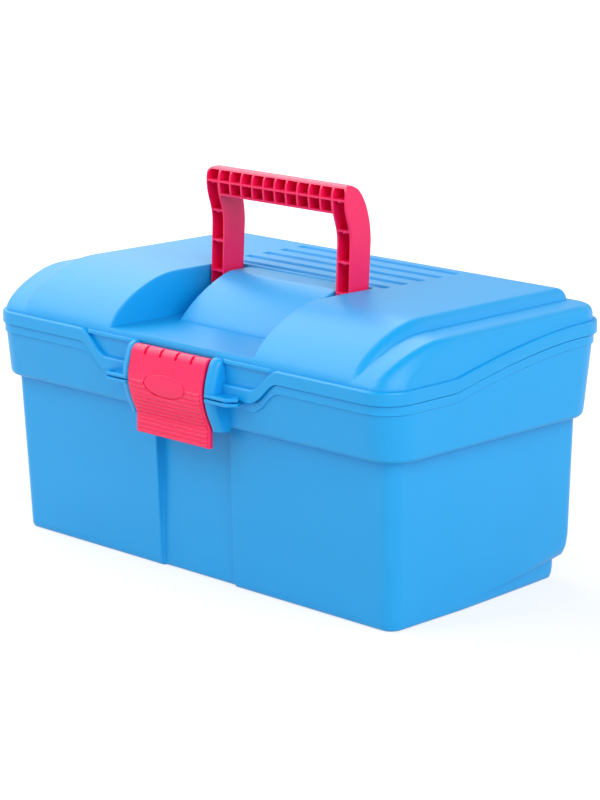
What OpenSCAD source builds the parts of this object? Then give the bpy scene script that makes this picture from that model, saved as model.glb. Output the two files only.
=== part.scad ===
// Grooming box: a moulded tub with a hinged lid, a folding carry handle, a front latch and a lift-out tray.
// Millimetres. X runs along the length, the front faces -Y, Z is up and the box stands on Z = 0.

/* [Band round the top of the tub] */
// Length of the band
band_length = 388; // [350:1:430]
// Depth of the band at its lower edge
band_depth = 202.6; // [190:0.2:230]
// Plan radius of the band's corners
band_corner = 22; // [14:1:28]
// Height of the band's lower edge above the ground
ledge_height = 115; // [95:1:140]
// Rounding of the band's lower edge
band_edge = 4; // [1:0.5:6]
// Height of the band along the front, from its lower edge to the lid seam
band_height = 39; // [36:0.5:47]
// Rise of the lid seam from the front to the back
seam_rise = 17; // [12:0.5:22]
// Lean of the band's front from its lower edge to the seam
lean_front = 4.7; // [0:0.1:7]
// Lean of the band's back from its lower edge to the seam
lean_back = 9.7; // [0:0.1:12]
// Where the seam starts to rise along the ends
seam_rise_start = -42; // [-60:1:-20]
// Where the seam stops rising along the ends
seam_rise_end = 80; // [50:1:90]
// Wall of every moulded shell
wall = 2.6; // [2:0.1:3.2]

/* [Tub] */
// Ledge between the band and the tub at the ends
ledge_end = 8.7; // [6:0.1:12]
// Ledge at the front
ledge_front = 7.6; // [6:0.1:10]
// Ledge at the back
ledge_back = 6.8; // [5:0.1:10]
// Inward draft of each end wall from ledge to bottom
draft_end = 3.7; // [0:0.1:6]
// Inward draft of the front wall from ledge to bottom
draft_front = 5.3; // [0:0.1:7]
// Plan radius of the tub's corners
tub_corner = 10; // [6:1:14]
// Thickness of the tub's floor
floor_thickness = 3; // [2:0.2:4]
// Rounding of the tub's bottom edge
bottom_edge = 2.5; // [1:0.5:3]
// Height of the stepped foot at the back
foot_height = 17.5; // [12:0.5:24]
// Depth of the stepped foot at the back
foot_depth = 10.5; // [4:0.5:12]
// Depth of the stepped foot at the rear end of each end wall
foot_side = 3.6; // [1:0.1:4]

/* [Latch bay] */
// Half the width of the flat recess below the latch
bay_half = 36; // [28:1:42]
// Depth of that recess under the band
bay_depth = 7.6; // [4:0.1:9]
// Drop of the seam behind the latch
dip_depth = 16.5; // [12:0.5:20]
// Half the width of the dip's straight bottom
dip_inner = 70; // [69:1:76]
// Half the width of the dip at its top
dip_outer = 97; // [92:1:110]
// Width of each pillar beside the latch
pillar_width = 7.4; // [7:0.2:12]
// How far the pillars stand behind the latch's face
pillar_set_back = 2; // [1:0.2:2.2]
// Reach of the padlock lugs beside the pillars
lug_reach = 19.5; // [18:0.5:24]
// Thickness of each padlock lug
lug_thickness = 3; // [2:0.2:4]
// Space between the two padlock lugs
lug_space = 3; // [1:0.2:4]
// Radius of the padlock hole
padlock_hole_radius = 2.75; // [2:0.05:3.5]

/* [Lid] */
// Overhang of the lid's rim at the ends
rim_over_end = 1; // [0:0.5:3]
// Overhang of the rim at the front
rim_over_front = 2; // [1:0.5:4]
// Overhang of the rim at the back
rim_over_back = 3; // [1:0.5:4]
// Height of the rim
rim_height = 9.5; // [7:0.5:12]
// Gap between the rim and the band
seam_gap = 0.3; // [0.2:0.1:0.6]
// Set-back of the lid's crown from the rim's front
crown_set_back = 3; // [1:0.5:5]
// Rise of the crown above the rim
crown_rise = 34.5; // [32:0.5:42]
// Length of the crown's curved front, measured along Y
crown_swell = 61; // [50:1:75]
// Half the width of the crown
crown_half = 157; // [145:1:165]
// Drop from the crown to the step at each end
step_drop = 10; // [6:0.5:14]
// Length of the step's curved front, measured along Y
step_swell = 55; // [45:1:65]
// Set-back of the step's end wall from the rim
step_set_back = 8; // [5:0.5:12]
// Set-back of the crown's back edge from the rim
crown_back = 6; // [3:0.5:10]
// Rounding of the crown's long edges
crown_edge = 8; // [3:0.5:10]
// Plan radius of the step's front corners
step_corner = 20; // [12:1:40]
// Plan radius of the crown's other corners
crown_corner = 10; // [8:0.5:14]
// Set-back of the step's back edge from the rim
step_back = 4; // [3:0.5:8]

/* [Lid top] */
// Gap between each leg of the handle and the side of the well it folds into
well_gap = 2; // [1.5:0.5:8]
// Depth of the well below the crown
well_depth = 31; // [29:0.5:31]
// Gap between each leg of the handle and the hump between the legs
hump_gap = 1.7; // [1.2:0.1:10.7]
// Length of the hump's curved front, measured along Y
hump_swell = 49; // [36:1:52]
// Drop of the hump's top below the crown
hump_drop = 1; // [0:0.5:3]
// Number of finger grooves behind the handle
groove_count = 5; // [2:1:5]
// Half the length of a groove
groove_half = 77.5; // [50:0.5:100]
// Distance from groove to groove
groove_pitch = 18; // [15:0.5:18]
// Width of a groove
groove_width = 8; // [4:0.5:10]
// Depth of a groove
groove_depth = 2.4; // [1:0.1:3]

/* [Handle] */
// Half the outside width of the handle
handle_half = 68; // [50:0.5:85]
// Width of each leg
leg_width = 13.3; // [9:0.1:13.5]
// Height of the grip's top above the pivot
handle_rise = 85; // [80:0.5:90]
// Height of the grip bar
grip_height = 20; // [14:0.5:22]
// Front-to-back depth of the legs at their feet
leg_depth = 19; // [14:0.5:20]
// Height of the handle's pivot above the floor of the well
pivot_rise = 18; // [16:0.5:20]
// Radius of the handle's pivot studs
stud_radius = 4; // [2.5:0.1:5]
// Length of the handle's pivot studs
stud_length = 7; // [5:0.5:8]
// Ribs and back web of the handle
handle_rib = 1.5; // [1:0.1:2.2]
// Number of cells along the grip
grip_cells = 10; // [4:1:14]
// Distance between the ribs of a leg
leg_rib_pitch = 21.5; // [15:0.5:30]

/* [Latch] */
// Half the width of the latch
latch_half = 37; // [30:0.5:40]
// Gap between the latch and each pillar
latch_side_gap = 0.6; // [0.3:0.1:1.2]
// Stand-off of the latch's lower lip from the band's lower edge
latch_stand = 9.2; // [8.5:0.1:12]
// Swell of the latch's face between its pivot and its lip
latch_swell = 6.8; // [3:0.1:9]
// Length of the straight lip below the band
lip_length = 14; // [8:0.5:20]
// Thickness of the latch
latch_thickness = 3; // [2:0.1:4]
// Radius of the latch's barrel
barrel_radius = 3.4; // [3:0.1:3.6]
// Radius of the latch's pivot studs
latch_stud_radius = 1.8; // [1.2:0.1:2]
// Length of the latch's pivot studs
latch_stud_length = 6; // [4:0.5:8]
// Height of the latch's pivot above the front seam
latch_pivot_rise = 4.6; // [3:0.1:5]

/* [Hinges] */
// Half the distance between the two hinges
hinge_half = 105; // [60:1:140]
// Radius of a knuckle
knuckle_radius = 5; // [4:0.2:6]
// Length of one knuckle
knuckle_length = 12; // [8:0.5:16]
// Radius of a hinge pin
pin_radius = 2; // [1.5:0.1:2.5]

/* [Tray] */
// Depth of the tray below its flange
tray_depth = 42; // [25:1:60]
// Gap between the tray's walls and the tub at the ledge
tray_gap = 3.4; // [3:0.1:5]
// Width of the flange's side gap to the band
flange_gap = 1.2; // [0.6:0.1:2]
// Thickness of the tray
tray_wall = 2; // [1.4:0.1:3]
// Place of the lengthwise wall that carries the grip
tray_wall_y = 22; // [18:1:50]
// Half the length of the tray's grip
grip_plate_half = 58; // [50:1:90]
// Height of the grip above the flange
grip_plate_rise = 30; // [24:1:32]
// Number of compartments along the front of the tray
tray_bays = 3; // [2:1:5]

/* [Hidden] */
$fn = 48;

shell_blue = "#3BA4EA";
accent_pink = "#F4406E";
pin_grey = "#B8BCC2";
tray_blue = "#5DB4EF";

// Small amounts: cut overrun, running clearance of studs and pins, press fit of pins, seat gap, slice thickness
over = 1;
// Reach of the cuts that run past the whole box
far = 60;
running_clearance = 0.06;
press = 0.02;
seat_gap = 0.2;
slice = 0.02;
swell_steps = 14;
dip_steps = 10;
round_steps = 6;
edge_steps = 2;
face_steps = 14;

// Band and seam
band_half = band_length / 2;
band_front = -band_depth / 2;
band_rear = band_depth / 2;
seam_front = ledge_height + band_height;
seam_back = seam_front + seam_rise;
slope_front = lean_front / band_height;
slope_back = lean_back / (seam_back - ledge_height);
seam_power = 1.6;
ledge_top = ledge_height + wall;
band_top = seam_back + over;

// Tub
tub_half = band_half - ledge_end;
tub_front = band_front + ledge_front;
tub_rear = band_rear - ledge_back;
bay_floor = tub_front + bay_depth;
foot_fade = -20;

// Lid rim and crown
rim_half = band_half + rim_over_end;
rim_front = band_front - lean_front - rim_over_front;
rim_rear = band_rear + lean_back + rim_over_back;
rim_corner = band_corner + rim_over_end;
foot_z = seam_front + rim_height;
foot_y = rim_front + crown_set_back;
crown_top = foot_z + crown_rise;
step_top = crown_top - step_drop;
step_half = rim_half - step_set_back;
crown_rear = rim_rear - crown_back;
crown_power = 1.55;
step_power = 1.5;
apron_inner = foot_y + wall;
apron_set_back = 0.5;
apron_panel = foot_y + apron_set_back;

// Handle well, hump and grooves
leg_inner = handle_half - leg_width;
well_half = handle_half + well_gap;
hump_half = leg_inner - hump_gap;
well_floor = crown_top - well_depth;
pivot_y = 0;
pivot_z = well_floor + pivot_rise;
leg_half = leg_depth / 2;
leg_slot_gap = 2.5;
slot_rear = pivot_y + leg_half + leg_slot_gap;
hump_top = crown_top - hump_drop;
hump_power = 1.3;
hump_lead = 5;
hump_crest = pivot_y - hump_lead;
boss_wall = 4;
boss_radius = stud_radius + boss_wall;
boss_end = well_half + stud_length + wall;
groove_first = slot_rear + wall + groove_width / 2;
rib_block = groove_depth + wall;

// Handle
handle_top = pivot_z + handle_rise;
grip_bottom = handle_top - grip_height;
handle_corner = 6;
knee_drop = 40;
knee_z = handle_top - knee_drop;
handle_back = 2.1;
grip_split = grip_bottom + grip_height / 2;

// Latch
latch_pivot_z = seam_front + latch_pivot_rise;
latch_top = latch_pivot_z + barrel_radius;
lip_y = band_front - latch_stand;
latch_lean = 1.5;
barrel_gap = 0.6;
latch_bottom = ledge_height - lip_length;
latch_pivot_y = apron_panel - barrel_radius - barrel_gap;
dip_z = seam_front - dip_depth;
pillar_in = latch_half + latch_side_gap;
pillar_out = pillar_in + pillar_width;
lug_cut = 6;
lug_stand = 10;
lug_hole_stand = 5.5;
lug_hole_inset = 8.75;
lug_x = pillar_out + lug_reach - lug_hole_inset;
lug_y = rim_front - lug_hole_stand;
lug_tip = rim_front - lug_stand;
lug_low = dip_z - lug_space / 2 - lug_thickness;
lug_high = dip_z + lug_space / 2;
catch_gap = 0.5;
catch_stand = 5;
catch_inset = 6;
catch_height = 4;
catch_play = 1;
catch_front = band_front - catch_stand;
catch_half = latch_half - catch_inset;
catch_top = ledge_height + catch_height;
pillar_drop = 2;

// Hinges
knuckle_stand = 1;
hinge_y = rim_rear + knuckle_radius + knuckle_stand;
hinge_z = seam_back;
knuckle_gap = 0.4;
pin_proud = 1;
pin_length = 3 * knuckle_length + 2 * knuckle_gap + 2 * pin_proud;

// Tray
tray_half = tub_half - wall - tray_gap;
tray_front = tub_front + wall + tray_gap;
tray_rear = tub_rear - wall - tray_gap;
notch_half = bay_half + wall + tray_gap;
notch_rear = bay_floor + wall + tray_gap / 2;
flange_half = band_half - wall - flange_gap;
flange_front = band_front + wall + flange_gap;
flange_rear = band_rear - wall - flange_gap;
flange_bottom = ledge_top + seat_gap;
flange_top = flange_bottom + tray_wall;
tray_bottom = flange_bottom - tray_depth;
grip_plate_top = flange_top + grip_plate_rise;
finger_slot_margin = 12;
finger_slot_half = grip_plate_half - finger_slot_margin;
finger_slot_height = grip_plate_rise - finger_slot_margin;

// Outer faces of the leaning band at a height
function band_front_y(z) = band_front - slope_front * (z - ledge_height);
function band_rear_y(z) = band_rear + slope_back * (z - ledge_height);

// Height of the seam at a depth y, along the ends
function seam_share(y) = min(1, max(0, (y - seam_rise_start) / (seam_rise_end - seam_rise_start)));
function seam_z(y) = seam_front + seam_rise * (1 - pow(1 - seam_share(y), seam_power));

// Points of the seam from front to back, raised by an amount
function seam_line(raise) = concat(
    [[rim_front - far, seam_front + raise]],
    [for (i = [0:dip_steps])
        let (y = seam_rise_start + (seam_rise_end - seam_rise_start) * i / dip_steps)
        [y, seam_z(y) + raise]],
    [[rim_rear + far, seam_back + raise]]
);

// Height of the seam along the front, with its dip behind the latch
function dip_share(x) = min(1, max(0, (dip_outer - abs(x)) / (dip_outer - dip_inner)));
function front_seam_z(x) = seam_front - dip_depth * (1 - cos(180 * dip_share(x))) / 2;
function dip_line(raise) = [
    for (side = [-1, 1], i = [0:dip_steps])
        let (t = side < 0 ? i / dip_steps : 1 - i / dip_steps, x = dip_outer - (dip_outer - dip_inner) * t)
        [side * x, front_seam_z(x) + raise]
];

// A curve that swells up from its foot at the front to its crest
function swell(foot, base, length, rise, power) = [
    for (i = [0:swell_steps])
        let (t = 90 * i / swell_steps)
        [foot + length - length * pow(cos(t), 2 / power), base + rise * pow(sin(t), 2 / power)]
];

// A quarter round from the end of a flat top down to a rear wall
function round_over(edge_y, top, radius) = [
    for (i = [0:round_steps])
        let (t = 90 * i / round_steps)
        [edge_y - radius + radius * sin(t), top - radius + radius * cos(t)]
];

// A cubic curve through two ends with two handles
function cubic(p, steps) = [
    for (i = [0:steps])
        let (t = i / steps, s = 1 - t)
        s * s * s * p[0] + 3 * s * s * t * p[1] + 3 * s * t * t * p[2] + t * t * t * p[3]
];

// Face of the latch at a height between its lip and its top
function latch_share(z) = (z - ledge_height) / (latch_top - ledge_height);
function latch_face_y(z) = lip_y - latch_lean * latch_share(z) - latch_swell * sin(180 * latch_share(z));

// Lays an outline of [y, z] points along X
module along_x(half) {
    rotate([90, 0, 90])
        translate([0, 0, -half])
            linear_extrude(2 * half)
                children();
}

// Lays an outline of [x, z] points along Y, from y0 to y1
module along_y(y0, y1) {
    translate([0, y1, 0])
        rotate([90, 0, 0])
            linear_extrude(y1 - y0)
                children();
}

// A block between two corners
module block(low, high) {
    translate(low) cube(high - low);
}

// A round bar along X from x0 to x1
module bar_x(radius, x0, x1) {
    translate([x0, 0, 0])
        rotate([0, 90, 0])
            cylinder(r = radius, h = x1 - x0);
}

// A flat plan with round corners
module plan(half, front, rear, corner) {
    translate([-half + corner, front]) square([2 * (half - corner), rear - front]);
    translate([-half, front + corner]) square([2 * half, rear - front - 2 * corner]);
    for (x = [-half + corner, half - corner], y = [front + corner, rear - corner])
        translate([x, y]) circle(r = corner);
}

// A plan whose front corners have their own radius
module corner_plan(half, front, rear, front_corner, rear_corner) {
    intersection() {
        plan(half, front, rear + 2 * front_corner, front_corner);
        plan(half, front - 2 * rear_corner, rear, rear_corner);
    }
}

// A thin slice of such a plan at a height, for the tapered walls
module plan_slice(z, half, front, rear, corner) {
    translate([0, 0, z]) linear_extrude(slice) plan(half, front, rear, corner, $fn = 32);
}

// A slice of the band at a height, drawn in by an inset
module band_slice(z, inset) {
    plan_slice(z, band_half - inset, band_front_y(z) + inset, band_rear_y(z) - inset, band_corner - inset);
}

// A slice of the tub at a height, drawn in by an inset and further at the back
module tub_slice(z, inset, back_inset) {
    t = (ledge_height - z) / ledge_height;
    plan_slice(z, tub_half - draft_end * t - inset, tub_front + draft_front * t + inset,
        tub_rear - inset - back_inset, max(1, tub_corner - inset));
}

module band_solid() {
    hull() {
        for (i = [0:edge_steps])
            let (t = 90 * i / edge_steps)
            band_slice(ledge_height + band_edge * (1 - cos(t)), band_edge * (1 - sin(t)));
        band_slice(band_top, 0);
    }
}

module band_hollow() {
    hull() {
        band_slice(ledge_top, wall);
        band_slice(band_top + over, wall);
    }
}

module tub_solid() {
    hull() {
        for (i = [0:edge_steps])
            let (t = 90 * i / edge_steps)
            tub_slice(bottom_edge * (1 - cos(t)), bottom_edge * (1 - sin(t)), 0);
        tub_slice(ledge_top - slice, 0, 0);
    }
}

module tub_hollow() {
    hull() {
        tub_slice(floor_thickness, wall + foot_side, foot_depth - foot_side);
        tub_slice(foot_height + floor_thickness, wall + foot_side, foot_depth - foot_side);
        tub_slice(foot_height + floor_thickness + foot_depth, wall, 0);
        tub_slice(ledge_top + over, wall, 0);
    }
}

// What is above the seam along the ends, and above its dip at the front
module above_seam(raise) {
    along_x(rim_half + far)
        polygon(concat(seam_line(raise), [[rim_rear + far, crown_top + far], [rim_front - far, crown_top + far]]));
}

module above_dip(raise, y0, y1) {
    along_y(y0, y1)
        polygon(concat(dip_line(raise), [[dip_outer, crown_top + far], [-dip_outer, crown_top + far]]));
}

// What the stepped foot leaves standing: sides that draw in towards a round-cornered back
module foot_plan() {
    foot_rear = tub_rear - foot_depth;
    foot_half = tub_half - draft_end - foot_side;
    intersection() {
        polygon([
            [-band_half, tub_front - over], [band_half, tub_front - over], [band_half, foot_fade],
            [tub_half - draft_end + over / 2, foot_fade], [foot_half, foot_rear],
            [-foot_half, foot_rear], [-tub_half + draft_end - over / 2, foot_fade], [-band_half, foot_fade]
        ]);
        union() {
            translate([-band_half, tub_front - over])
                square([band_length, foot_rear - tub_corner - tub_front]);
            plan(foot_half + over / 2, tub_front, foot_rear, tub_corner);
        }
    }
}

// The stepped foot: high across the back, and sloping down and fading forwards along each end
module foot_cut() {
    intersection() {
        along_x(band_half)
            polygon([
                [foot_fade, -over], [foot_fade, foot_height / 3],
                [tub_rear + over, foot_height], [tub_rear + over, -over]
            ]);
        difference() {
            block([-band_half, tub_front, -over], [band_half, tub_rear + over, foot_height + over]);
            translate([0, 0, -2 * over])
                linear_extrude(foot_height + 4 * over) foot_plan();
        }
    }
}

// Outline of a pillar from the wall to its swelled face, between two heights
module pillar_outline(low, high) {
    polygon(concat(
        [[band_front_y(high) + wall / 2, high], [band_front_y(low) + wall / 2, low]],
        [for (i = [0:face_steps])
            let (z = low + (high - low) * i / face_steps)
            [latch_face_y(max(z, ledge_height)) + pillar_set_back, z]]
    ));
}

module pillars(low, high) {
    for (side = [-1, 1])
        translate([side * (pillar_in + pillar_out) / 2, 0, 0])
            along_x(pillar_width / 2) pillar_outline(low, high);
}

// A padlock lug on each side: it crosses the pillar, comes to a blunt tip and narrows back to the wall
module lugs(low, root_y) {
    tip = pillar_out + lug_reach;
    for (side = [-1, 1])
        translate([0, 0, low])
            linear_extrude(lug_thickness)
                polygon([
                    [side * pillar_in, root_y], [side * (tip - lug_cut), root_y],
                    [side * tip, lug_tip + lug_cut], [side * (tip - lug_cut), lug_tip],
                    [side * pillar_in, lug_tip]
                ]);
}

module padlock_holes() {
    for (side = [-1, 1])
        translate([side * lug_x, lug_y, dip_z - far / 2])
            cylinder(r = padlock_hole_radius, h = far);
}

// Places a hinge's own pieces at both hinges
module at_hinges() {
    for (side = [-1, 1])
        translate([side * hinge_half, hinge_y, hinge_z]) children();
}

module base_knuckles() {
    arm_top = -rim_height;
    arm_foot = arm_top - 3 * knuckle_radius;
    for (side = [-1, 1]) {
        x0 = side < 0 ? -1.5 * knuckle_length - knuckle_gap : 0.5 * knuckle_length + knuckle_gap;
        bar_x(knuckle_radius, x0, x0 + knuckle_length);
        translate([x0 + knuckle_length / 2, 0, 0])
            along_x(knuckle_length / 2)
                polygon([
                    [0, 0], [0, -knuckle_radius], [band_rear_y(hinge_z + arm_foot) - wall / 2 - hinge_y, arm_foot],
                    [band_rear_y(hinge_z + arm_top) - wall / 2 - hinge_y, arm_top], [-knuckle_radius, -seam_gap]
                ]);
    }
}

module lid_knuckle() {
    reach = hinge_y - rim_rear;
    bar_x(knuckle_radius, -knuckle_length / 2, knuckle_length / 2);
    along_x(knuckle_length / 2)
        polygon([
            [0, 0], [0, knuckle_radius], [-reach - over, rim_height - over],
            [-reach - over, 2 * seam_gap], [-knuckle_radius + over, 2 * seam_gap]
        ]);
}

module hinge_bore(radius) {
    at_hinges() bar_x(radius, -pin_length, pin_length);
}

module base_tub() {
    color(shell_blue)
        difference() {
            union() {
                difference() {
                    union() {
                        band_solid();
                        tub_solid();
                    }
                    band_hollow();
                    difference() {
                        tub_hollow();
                        block([-bay_half - wall, tub_front - over, -over],
                            [bay_half + wall, bay_floor + wall, ledge_height + over]);
                    }
                    above_seam(0);
                    above_dip(0, rim_front - far, band_front + far);
                }
                pillars(ledge_height - pillar_drop, dip_z - seam_gap);
                lugs(lug_low, band_front_y(lug_low) + wall / 2);
                block([-catch_half, catch_front, ledge_height], [catch_half, band_front + wall / 2, catch_top]);
                at_hinges() base_knuckles();
            }
            block([-bay_half, tub_front - 4 * over, -over], [bay_half, bay_floor, ledge_height - over / 2]);
            foot_cut();
            padlock_holes();
            hinge_bore(pin_radius - press);
        }
}

// The crown or its end step: a swelled front, a flat top, round long edges and a wall round the back
module crown_part(half, length, top, power, front_corner, back, inset, front_inset) {
    foot = foot_y + front_inset;
    rear = rim_rear - back - inset;
    edge = crown_edge - inset;
    height = top - inset;
    bottom = ledge_height;
    intersection() {
        along_x(half - inset)
            polygon(concat(
                [[foot, bottom]],
                swell(foot, foot_z - inset, length - front_inset, top - foot_z, power),
                round_over(rear, height, edge),
                [[rear, bottom]]
            ));
        along_y(foot - over, rear + over)
            polygon(concat(
                [[-half + inset, bottom]],
                [for (i = [round_steps:-1:0])
                    let (p = round_over(half - inset, height, edge)[i])
                    [-p[0], p[1]]],
                round_over(half - inset, height, edge),
                [[half - inset, bottom]]
            ));
        translate([0, 0, bottom])
            linear_extrude(top - bottom + over)
                corner_plan(half - inset, foot, rear, front_corner - inset, crown_corner - inset);
    }
}

// Both together, drawn in by an inset, with the crown's front drawn in twice as far so that the two don't graze
module crown(inset) {
    crown_part(crown_half, crown_swell, crown_top, crown_power, crown_corner, crown_back, inset, 2 * inset);
    crown_part(step_half, step_swell, step_top, step_power, step_corner, step_back, inset, inset);
}

// The hump between the handle's legs, shrunk by an inset
module hump(inset) {
    along_x(hump_half - inset)
        polygon(concat(
            [[hump_crest - hump_swell + inset, ledge_height]],
            swell(hump_crest - hump_swell + inset, well_floor - inset, hump_swell, hump_top - well_floor, hump_power),
            [[slot_rear + 2 * wall, hump_top - inset], [slot_rear + 2 * wall, ledge_height]]
        ));
}

// The well round the hump, grown by an amount so that the same shape gives its walls
module well(grow) {
    difference() {
        block([-well_half - grow, rim_front - far, well_floor - grow],
            [well_half + grow, slot_rear + grow, crown_top + far]);
        hump(grow);
    }
}

module grooves() {
    for (i = [0:groove_count - 1])
        translate([0, groove_first + i * groove_pitch, crown_top])
            cube([2 * groove_half, groove_width, 2 * groove_depth], center = true);
}

// The rim: a band along the seam, deck and all, with its hollow
module rim() {
    difference() {
        intersection() {
            translate([0, 0, ledge_height])
                linear_extrude(crown_top - ledge_height)
                    plan(rim_half, rim_front, rim_rear, rim_corner);
            difference() {
                above_seam(seam_gap);
                above_seam(rim_height);
            }
        }
        difference() {
            translate([0, 0, ledge_height - over])
                linear_extrude(crown_top)
                    plan(rim_half - wall - rim_over_end, rim_front + wall + rim_over_front,
                        rim_rear - wall - rim_over_back, rim_corner - wall);
            above_seam(rim_height - wall);
        }
        block([-dip_outer, rim_front - over, seam_front - over], [dip_outer, apron_panel, foot_z + over]);
    }
}

// The apron that hangs into the dip: a panel, and a bead along the seam
module apron() {
    difference() {
        above_dip(seam_gap, apron_panel, apron_inner);
        block([-rim_half, rim_front - over, foot_z], [rim_half, rim_rear, crown_top + 2 * far]);
    }
    difference() {
        above_dip(seam_gap, rim_front, apron_inner);
        above_dip(rim_height, rim_front - over, apron_inner + over);
    }
}

module lid_shell() {
    color(shell_blue)
        difference() {
            union() {
                difference() {
                    union() {
                        rim();
                        apron();
                        intersection() {
                            crown(0);
                            above_seam(rim_height - wall);
                        }
                    }
                    difference() {
                        crown(wall);
                        well(wall);
                        block([-groove_half - wall, slot_rear, crown_top - rib_block],
                            [groove_half + wall, crown_rear, crown_top]);
                    }
                }
                pillars(dip_z + seam_gap, foot_z);
                lugs(lug_high, apron_inner - wall / 2);
                at_hinges() lid_knuckle();
                for (side = [-1, 1])
                    translate([0, pivot_y, pivot_z])
                        bar_x(boss_radius, side < 0 ? -boss_end : well_half, side < 0 ? -well_half : boss_end);
            }
            well(0);
            grooves();
            padlock_holes();
            hinge_bore(pin_radius + running_clearance);
            translate([0, pivot_y, pivot_z])
                bar_x(stud_radius + running_clearance, -well_half - stud_length, well_half + stud_length);
            translate([0, latch_pivot_y, latch_pivot_z])
                bar_x(latch_stud_radius + running_clearance,
                    -pillar_in - latch_stud_length, pillar_in + latch_stud_length);
        }
}

// Side outline of the handle: round feet, legs that lean back a little and a grip that curls forward
module handle_outline() {
    lean = 2.5;
    crest_lead = 6;
    nose_lead = 4;
    nose_drop = 10;
    slack = 1.5;
    back_pull = 16;
    crest_pull = [12, -4];
    front_pull = 6;
    chin_pull = 13;
    knee = [leg_half + lean, knee_z];
    crest = [-crest_lead, handle_top];
    nose = [-leg_half - nose_lead, handle_top - nose_drop];
    waist = [-leg_half + slack, knee_z];
    foot = [for (i = [0:2 * round_steps])
        let (t = 180 + 90 * i / round_steps)
        [leg_half * cos(t), pivot_z + leg_half * sin(t)]];
    polygon(concat(
        foot,
        cubic([knee, knee + [0, back_pull], crest + crest_pull, crest], 10),
        cubic([crest, crest - [front_pull, 0], nose + [0, front_pull], nose], 6),
        cubic([nose, nose - [0, chin_pull], waist + [0, chin_pull], waist], 8)
    ));
}

// Front outline of the handle: two legs and the grip between them, its outside drawn in by an inset
module handle_front(inset) {
    half = handle_half - inset;
    rise = handle_rise - inset;
    corner = handle_corner - inset;
    difference() {
        union() {
            translate([-half, pivot_z - leg_depth])
                square([2 * half, rise + leg_depth - corner]);
            translate([-half + corner, pivot_z])
                square([2 * (half - corner), rise]);
            for (side = [-1, 1])
                translate([side * (half - corner), pivot_z + rise - corner])
                    circle(r = corner);
        }
        translate([-leg_inner, pivot_z - leg_depth - over])
            square([2 * leg_inner, grip_bottom - pivot_z + leg_depth + over]);
    }
}

// One open cell of the handle, seen from the front
module cell(x0, x1, z0, z1) {
    block([x0 + handle_rib / 2, -far, z0 + handle_rib / 2], [x1 - handle_rib / 2, far, z1 - handle_rib / 2]);
}

module handle_cells() {
    pitch = 2 * leg_inner / grip_cells;
    leg_cells = floor((grip_split - pivot_z) / leg_rib_pitch);
    for (i = [0:grip_cells - 1]) {
        x0 = -leg_inner + i * pitch;
        cell(x0, x0 + pitch, grip_bottom + handle_rib / 2, grip_split);
        cell(x0, x0 + pitch, grip_split, handle_top);
    }
    for (side = [-1, 1]) {
        outer = handle_half - handle_rib / 2;
        x0 = side < 0 ? -outer : leg_inner;
        x1 = side < 0 ? -leg_inner : outer;
        cell(x0, x1, grip_split, handle_top);
        for (i = [0:leg_cells])
            cell(x0 + (side > 0 ? handle_rib / 2 : 0), x1 - (side < 0 ? handle_rib / 2 : 0),
                i < leg_cells ? grip_split - (i + 1) * leg_rib_pitch : pivot_z - leg_half / 2,
                grip_split - i * leg_rib_pitch);
    }
}

module carry_handle() {
    color(accent_pink) {
        difference() {
            intersection() {
                along_x(handle_half) handle_outline();
                along_y(-far, far) handle_front(0);
            }
            intersection() {
                along_x(handle_half)
                    translate([-handle_back, -handle_rib]) handle_outline();
                along_y(-far, far) handle_front(handle_rib);
                handle_cells();
            }
        }
        for (side = [-1, 1])
            translate([0, pivot_y, pivot_z])
                bar_x(stud_radius, side < 0 ? -well_half - stud_length + over : handle_half - over,
                    side < 0 ? -handle_half + over : well_half + stud_length - over);
    }
}

// Side outline of the latch's plate, from its straight lip up and over to the barrel
module latch_outline() {
    faces = [for (i = [0:face_steps])
        let (z = ledge_height + (latch_pivot_z - ledge_height) * i / face_steps)
        [latch_face_y(z), z]];
    shoulder = faces[face_steps];
    backs = [for (i = [face_steps - 1:-1:0]) faces[i] + [latch_thickness, 0]];
    polygon(concat(
        [[lip_y, latch_bottom]], faces,
        cubic([shoulder, shoulder + [0, barrel_radius / 2],
            [latch_pivot_y - barrel_radius / 2, latch_top], [latch_pivot_y, latch_top]], 5),
        [[latch_pivot_y, latch_pivot_z]],
        backs, [[lip_y + latch_thickness, latch_bottom]]
    ));
}

module front_latch() {
    hook_top = ledge_height - catch_play;
    color(accent_pink) {
        along_x(latch_half) latch_outline();
        translate([0, latch_pivot_y, latch_pivot_z]) {
            bar_x(barrel_radius, -latch_half, latch_half);
            bar_x(latch_stud_radius, -pillar_in - latch_stud_length + over, pillar_in + latch_stud_length - over);
        }
        block([-catch_half, lip_y + latch_thickness - over, hook_top - latch_thickness],
            [catch_half, catch_front - catch_gap, hook_top]);
    }
}

module hinge_pin(side) {
    color(pin_grey)
        translate([side * hinge_half, hinge_y, hinge_z])
            bar_x(pin_radius, -pin_length / 2, pin_length / 2);
}

module hinge_pin_left() {
    hinge_pin(-1);
}

module hinge_pin_right() {
    hinge_pin(1);
}

// Plan of the tray's body, drawn in by an inset and notched round the latch bay
module tray_plan(inset) {
    difference() {
        plan(tray_half - inset, tray_front + inset, tray_rear - inset, tub_corner - inset);
        translate([-notch_half - inset, tray_front - over])
            square([2 * (notch_half + inset), notch_rear + inset - tray_front + over]);
    }
}

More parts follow.
